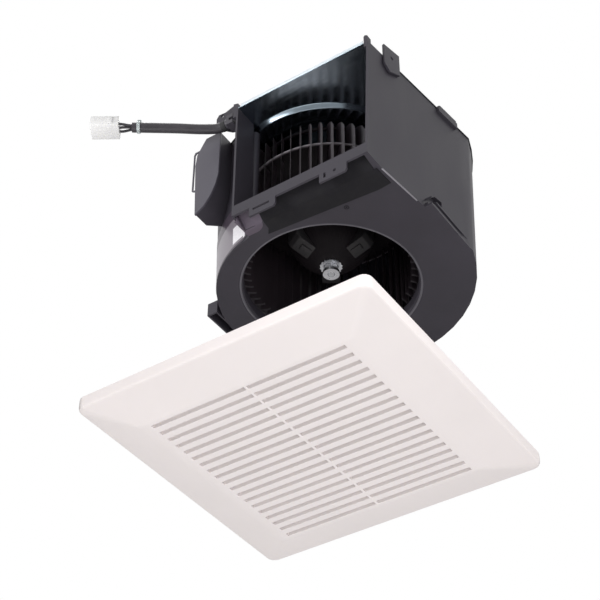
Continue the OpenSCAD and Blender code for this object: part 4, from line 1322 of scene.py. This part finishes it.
@dataclass
class Motor:
    """Motor under its plate: bells, core, wound end turns and leads."""

    core_top: float = -30.0 * MM
    core_bottom: float = -60.0 * MM
    winding_inner: float = 24.5 * MM
    winding_outer: float = 33.0 * MM
    winding_height: float = 11.0 * MM
    winding_wire: float = 1.1 * MM
    winding_gap: float = 0.1 * MM
    flat_sides: float = 0.6
    flat_ends: float = 0.7
    turns: int = 66
    steps: int = 8
    edge: float = 0.3 * MM
    lead_radius: float = 2.4 * MM
    lead_route: tuple[Point, ...] = (
        (-0.025, 0.0, -0.0186), (-0.025, 0.0, -0.004), (-0.027, -0.004, 0.003), (-0.034, -0.020, 0.005),
        (-0.056, -0.066, 0.005), (-0.069, -0.100, 0.0045), (-0.072, -0.107, -0.001),
        (-0.072, -0.107, -0.014),
    )

    def end_turns(self, node: str, seat: float, way: Way) -> None:
        """Draws one ring of end turns, laid as a closed coil of wire.

        Args:
            node: The winding's CAD node.
            seat: Height of the core's face.
            way: Whether the ring stands up from the core or hangs from it.
        """
        wire = self.winding_wire
        mid = (self.winding_inner + self.winding_outer) / 2
        reach = (self.winding_outer - self.winding_inner) / 2 - wire
        lift = self.winding_height / 2
        line = []
        for i in range(self.turns * self.steps):
            t, a = math.tau * i / self.steps, math.tau * i / (self.turns * self.steps)
            across = math.copysign(abs(math.cos(t)) ** self.flat_sides, math.cos(t))
            rise = math.copysign(abs(math.sin(t)) ** self.flat_ends, math.sin(t))
            r = mid + reach * across
            z = seat + way.value * (lift + (lift - wire - self.winding_gap) * rise)
            line.append(Vector((r * math.cos(a), r * math.sin(a), z)))
        name = node.replace("winding", "end_turns")
        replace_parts(drawn(name, line, wire, COPPER, sides=1, closed=True), node)

    def leads(self) -> None:
        """Draws the sleeved motor leads, over the plate and down into the junction box."""
        line = through(self.lead_route, 6)
        piece = drawn("motor_lead_sleeve", line, self.lead_radius, SLEEVE, sides=5)
        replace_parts(piece, "motor_leads")

    def build(self) -> None:
        """Dresses the motor and builds its wound pieces."""
        dress(PLATE, "motor_plate")
        dress(BELL, "motor_upper_bell", "motor_lower_bell")
        dress(CORE, "stator_core", "rotor_core")
        dress(BRONZE, "upper_bearing", "lower_bearing")
        dress(RUBBER, "motor_grommets")
        dress(NYLON, "thrust_collar")
        dress(ZINC, "plate_screws", "motor_screws", "bell_screws")
        soften(self.edge, "motor_plate", "motor_upper_bell", "motor_lower_bell")
        self.end_turns("upper_winding", self.core_top, Way.UP)
        self.end_turns("lower_winding", self.core_bottom, Way.DOWN)
        self.leads()


# Casing


def narrowed(u: float, start: float, share: float) -> float:
    """Width left at a place along a strip that narrows to a round end.

    Args:
        u: The place, from 0 to 1 along the strip.
        start: The place where the narrowing starts.
        share: Part of the squared width that is gone at the strip's end.

    Returns:
        The width there, as a part of the full width.
    """
    return math.sqrt(1.0 - share * max(0.0, (u - start) / (1.0 - start)) ** 2)


@dataclass
class Casing:
    """Scroll casing with its junction box, blank label, gate mark, painted-highlight beads, a near-black line
    and pad of painted shade, and hem with a painted highlight.

    Heights in its sections start at the underside of the casing's floor.
    """

    wall: float = 2.4 * MM
    radius: float = 115.0 * MM
    growth: float = 62.0 * MM
    outlet_left: float = 25.0 * MM
    draft: float = 1.5
    film: float = 0.12 * MM
    label_proud: float = 0.15 * MM
    label_angles: Pair = (-152.0, -104.6)
    label_taper: Pair = (0.9, 0.5)
    label_low: float = FLOOR_Z + 1.5 * MM
    label_high: float = FLOOR_Z + 60.0 * MM
    field_box: Box = (-148.0, -108.0, 0.04, 0.74)
    panel_box: Box = (-116.6, -107.6, 0.09, 0.52)
    ramp_foot: float = -122.0
    ramp_rise: float = 0.83
    ramp_sink: float = 0.3
    ramp_patch: Box = (-27.2, -3.0, -139.4, -113.5)
    ramp_taper: Pair = (0.45, 0.96)
    fold: tuple[Point, Point] = (
        (-27.2 * MM, -138.6 * MM, FLOOR_Z - 0.25 * MM), (-24.8 * MM, -114.0 * MM, FLOOR_Z + 0.1 * MM),
    )
    cheek_x: float = -24.9 * MM
    cheek: tuple[Pair, ...] = ((-122.0, 0.0), (-138.6, 13.6), (-138.6, 0.0))
    gate: Pair = (79.0, -93.0)
    gate_rings: tuple[Pair, ...] = ((2.0, 2.6), (0.0, 0.8))
    # Sections of the painted-highlight beads at the inlet's lip and the right wall's foot.
    inlet_highlight_bead: tuple[Pair, ...] = (
        (95.4, 1.7), (95.3, 0.9), (95.7, 0.2), (96.4, -0.05), (97.1, 0.1), (97.6, 0.45),
    )
    foot_highlight_bead: tuple[Pair, ...] = (
        (135.8, -0.1), (136.0, -0.45), (136.8, -0.5), (137.3, 0.0), (137.35, 0.7), (136.9, 0.9),
    )
    foot_highlight_bead_start: float = -119.0 * MM
    foot_highlight_bead_reach: Point = (6.1 * MM, 57.0 * MM, 0.0)
    # The near-black line along the casing's top edge is painted shadow at the plate's joint.
    shadow_line_z: float = -1.6 * MM
    shadow_line_radius: float = 1.3 * MM
    shadow_line_proud: float = -0.2 * MM
    shadow_line_start: Pair = (145.2 * MM, -94.0 * MM)
    shadow_line_angles: tuple[int, int, int] = (12, 253, 6)
    # Section, run and floor pad of the painted shade behind the flange.
    painted_shade_section: tuple[Pair, ...] = ((-122.0, -0.10), (-139.6, 14.50), (-140.37, 13.58), (-122.77, -1.02))
    painted_shade_start: float = -2.0 * MM
    painted_shade_length: float = 131.5 * MM
    painted_shade_pad: tuple[Pair, ...] = (
        (-2.0, -122.6), (133.0, -122.6), (134.0, -98.0), (120.0, -96.6), (-8.0, -105.3), (-3.0, -112.0),
    )
    painted_shade_pad_depth: float = 0.9 * MM
    hem_box: tuple[Point, Point] = ((-22.5 * MM, -143.0 * MM, 0.0), (133.5 * MM, -142.1 * MM, 4.0 * MM))

    def scroll(self, angle: float, z: float, proud: float) -> Vector:
        """A point on the outside of the scroll.

        Args:
            angle: Plan angle in degrees.
            z: Height.
            proud: Distance outside the wall.

        Returns:
            The point.
        """
        start = -90.0 - math.degrees(math.asin((self.outlet_left + self.wall) / self.radius))
        lean = 1.0 + (z - FLOOR_Z) * math.tan(math.radians(self.draft)) / self.radius
        turn = angle if angle <= start else angle - 360.0
        r = (self.radius + self.growth * (start - turn) / 360.0) * lean + proud
        return Vector((r * math.cos(math.radians(angle)), r * math.sin(math.radians(angle)), z))

    def label(self) -> None:
        """Builds the blank label round the lower left of the scroll, with its field and panel."""
        bm = bmesh.new()
        bmesh.ops.create_grid(bm, x_segments=38, y_segments=18, size=0.5)
        (first, last), height = self.label_angles, self.label_high - self.label_low
        for v in bm.verts:
            u = v.co.x + 0.5
            w = 0.5 + v.co.y * narrowed(u, *self.label_taper)
            v.co = self.scroll(first + u * (last - first), self.label_low + w * height, self.label_proud)
        for face in bm.faces:
            middle = face.calc_center_median()
            angle = math.degrees(math.atan2(middle.y, middle.x))
            w = (middle.z - self.label_low) / height
            for index, (left, right, low, high) in enumerate((self.field_box, self.panel_box)):
                if left < angle < right and low < w < high:
                    face.material_index = index + 1
        thicken(bm, self.film)
        extra = (LABEL_FIELD, LABEL_PANEL)
        finished("blank_label", bm, LABEL_FILM, smooth=60.0, extra=extra)

    def label_end(self) -> None:
        """Builds the label's rounded end, stuck under the outlet beside the scroll, in a lighter copy of the
        label film: painted light where the recess gets little.
        """
        bm = bmesh.new()
        bmesh.ops.create_grid(bm, x_segments=16, y_segments=10, size=0.5)
        left, right, low, high = self.ramp_patch
        for v in bm.verts:
            u = v.co.x + 0.5
            y = low + (0.5 + v.co.y * narrowed(u, *self.ramp_taper)) * (high - low)
            drop = max(0.0, (self.ramp_foot - y) * self.ramp_rise) - self.ramp_sink
            v.co = ((left + u * (right - left)) * MM, y * MM, FLOOR_Z + drop * MM)
        thicken(bm, self.film)
        block(bm, *self.fold)
        prism(bm, [(self.cheek_x, y * MM, FLOOR_Z + h * MM) for y, h in self.cheek], (0.2 * MM, 0.0, 0.0))
        finished("blank_label_end", bm, LIT_LABEL_END, smooth=60.0)

    def gate_mark(self) -> None:
        """Builds the small ring that the mould left on the floor."""
        bm = bmesh.new()
        for inner, outer in self.gate_rings:
            turned(bm, [(r * MM, z * MM) for r, z in (
                (inner, 0.1), (outer, 0.1), (outer, -0.35), (outer - 0.2, -0.5), (inner + 0.15, -0.5),
            )], 40)
        x, y = self.gate
        bmesh.ops.translate(bm, verts=bm.verts, vec=(x * MM, y * MM, FLOOR_Z))
        # The ring uses the near-black finish that serves as painted shade elsewhere.
        finished("gate_mark", bm, SHADE_FOAM)

    def highlight_beads(self) -> None:
        """Builds the pale bead round the inlet's lip and the paler one along the right wall's foot: painted
        highlights where the rounded edges catch light.
        """
        bm = bmesh.new()
        turned(bm, [(r * MM, FLOOR_Z + h * MM) for r, h in self.inlet_highlight_bead], 160)
        finished("inlet_highlight_bead", bm, HIGHLIGHT_BEAD, smooth=50.0)
        bm = bmesh.new()
        points = [(x * MM, self.foot_highlight_bead_start, FLOOR_Z + h * MM) for x, h in self.foot_highlight_bead]
        prism(bm, points, self.foot_highlight_bead_reach, 0.2 * MM)
        finished("foot_highlight_bead", bm, PALE_HIGHLIGHT_BEAD, smooth=50.0)

    def shadow_line(self) -> None:
        """Draws a thin near-black round line between the casing's top edge and the motor plate, as painted
        shadow along the joint.
        """
        z, proud, angles = self.shadow_line_z, self.shadow_line_proud, range(*self.shadow_line_angles)
        first, corner = Vector((*self.shadow_line_start, z)), self.scroll(angles[0], z, proud)
        line = [first.lerp(corner, i / 8) for i in range(8)]
        line += [self.scroll(a, z, proud) for a in angles]
        drawn("plate_shadow_line", line, self.shadow_line_radius, SHADE_FOAM, sides=2)

    def painted_shade(self) -> None:
        """Builds near-black painted shade behind the flange, standing in for the flange's shadow: a strip up
        the outlet's ramp and a pad on the floor.
        """
        bm = bmesh.new()
        strip = [(self.painted_shade_start, y * MM, FLOOR_Z + h * MM) for y, h in self.painted_shade_section]
        prism(bm, strip, (self.painted_shade_length, 0.0, 0.0), 0.25 * MM)
        pad = [(x * MM, y * MM, FLOOR_Z - 0.05 * MM) for x, y in self.painted_shade_pad]
        prism(bm, pad, (0.0, 0.0, -self.painted_shade_pad_depth), 0.25 * MM)
        finished("ramp_painted_shade", bm, SHADE_FOAM)

    def hem(self) -> None:
        """Builds the turned-up front edge of the motor plate, in a paler copy of its zinc: a painted
        highlight along the edge.
        """
        bm = bmesh.new()
        block(bm, *self.hem_box, 0.3 * MM)
        finished("plate_hem", bm, HEM_HIGHLIGHT)

    def build(self) -> None:
        """Dresses the casing and its box, and adds its label, gate mark, painted-highlight beads,
        painted-shade line and pad, and hem.
        """
        dress(CASING, "scroll_casing", "side_bracket", "ear_bracket")
        dress(BOX, "junction_box", "lead_gland")
        dress(COVER, "junction_cover")
        dress(CAPACITOR, "run_capacitor")
        dress(NYLON, "wire_splices")
        soften(0.8 * MM, "scroll_casing", segments=3)
        soften(0.5 * MM, "junction_box", "junction_cover")
        soften(0.4 * MM, "side_bracket", "ear_bracket", "lead_gland")
        self.label()
        self.label_end()
        self.gate_mark()
        self.highlight_beads()
        self.shadow_line()
        self.painted_shade()
        self.hem()


# Grille


@dataclass
class Grille:
    """Slotted grille with its two torsion springs."""

    centre: Point = (-15.0 * MM, -10.0 * MM, -378.0 * MM)
    edge: float = 0.4 * MM
    post: float = 118.0 * MM
    pin_height: float = 16.0 * MM
    wire: float = 1.0 * MM
    coil: float = 5.6 * MM
    coil_start: float = 1.6 * MM
    pitch: float = 3.6 * MM
    turns: int = 2
    step: float = 15.0
    arm: float = 96.0 * MM
    rise: float = 9.0
    tip: tuple[Pair, ...] = ((8.0, 0.0), (6.0, 0.2), (4.0, 1.5), (1.5, 3.8), (0.0, 6.0))

    def coil_point(self, t: float) -> Vector:
        """A point on the coil's helix, at an angle in degrees."""
        x, turn = self.pitch * (self.rise - 90.0 - t) / 360.0, math.radians(t)
        return Vector((x, self.coil * math.cos(turn), self.coil * math.sin(turn)))

    def arm_line(self, end: float, way: int) -> list[Vector]:
        """The straight arm that leaves the coil, with its tip bent up.

        Args:
            end: Angle in degrees at which it leaves the coil.
            way: 1 for the rear arm, -1 for the front one.

        Returns:
            Its points, from the coil outwards.
        """
        root, rise = self.coil_point(end), math.radians(self.rise)
        out, up = Vector((0.0, way * math.cos(rise), math.sin(rise))), Vector((0.0, 0.0, 1.0))
        straight = [root + out * (self.arm * share) for share in (0.25, 0.5)]
        return straight + [root + out * (self.arm - back * MM) + up * (lift * MM) for back, lift in self.tip]

    def spring(self, side: Side, front: bool) -> None:
        """Draws one arm of a torsion spring with its half of the coil.

        Args:
            side: Which spring.
            front: True for the front arm.
        """
        rear_end, front_end = self.rise - 90.0, -self.rise - 90.0 - 720.0 * self.turns
        start = front_end + 360.0 * self.turns if front else rear_end
        count = round(360.0 * self.turns / self.step)
        half_coil = [self.coil_point(start - self.step * i) for i in range(count + 1)]
        if front:
            line = half_coil + self.arm_line(front_end, -1)
        else:
            line = self.arm_line(rear_end, 1)[::-1] + half_coil
        sign, shift = side.value, self.post + self.coil_start + self.wire
        place = Vector(self.centre) + Vector((0.0, 0.0, self.pin_height))
        points = [place + Vector((sign * (shift + p.x), p.y, p.z)) for p in line]
        half = "front" if front else "rear"
        name, body = f"{side.name.lower()}_spring_{half}", Body[f"{side.name}_{half.upper()}"]
        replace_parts(drawn(f"{name}_wire", points, self.wire, SPRING, body, 3), f"{name}_arm")

    def build(self) -> None:
        """Dresses the grille and winds its springs."""
        for node in ("grille_panel", "left_spring_bracket", "right_spring_bracket"):
            dress(GRILLE, node)
            soften(self.edge, node)
        for side in Side:
            for front in (True, False):
                self.spring(side, front)


def main() -> None:
    """Builds the studio and then every sub-assembly."""
    logging.basicConfig(level=logging.INFO, format="%(name)s: %(message)s")
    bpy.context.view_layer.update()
    for part in (Studio(), SupplyLead(), Casing(), Motor(), Wheel(), Grille()):
        part.build()
        LOG.info("%s done", type(part).__name__)


if __name__ == "__main__":
    main()
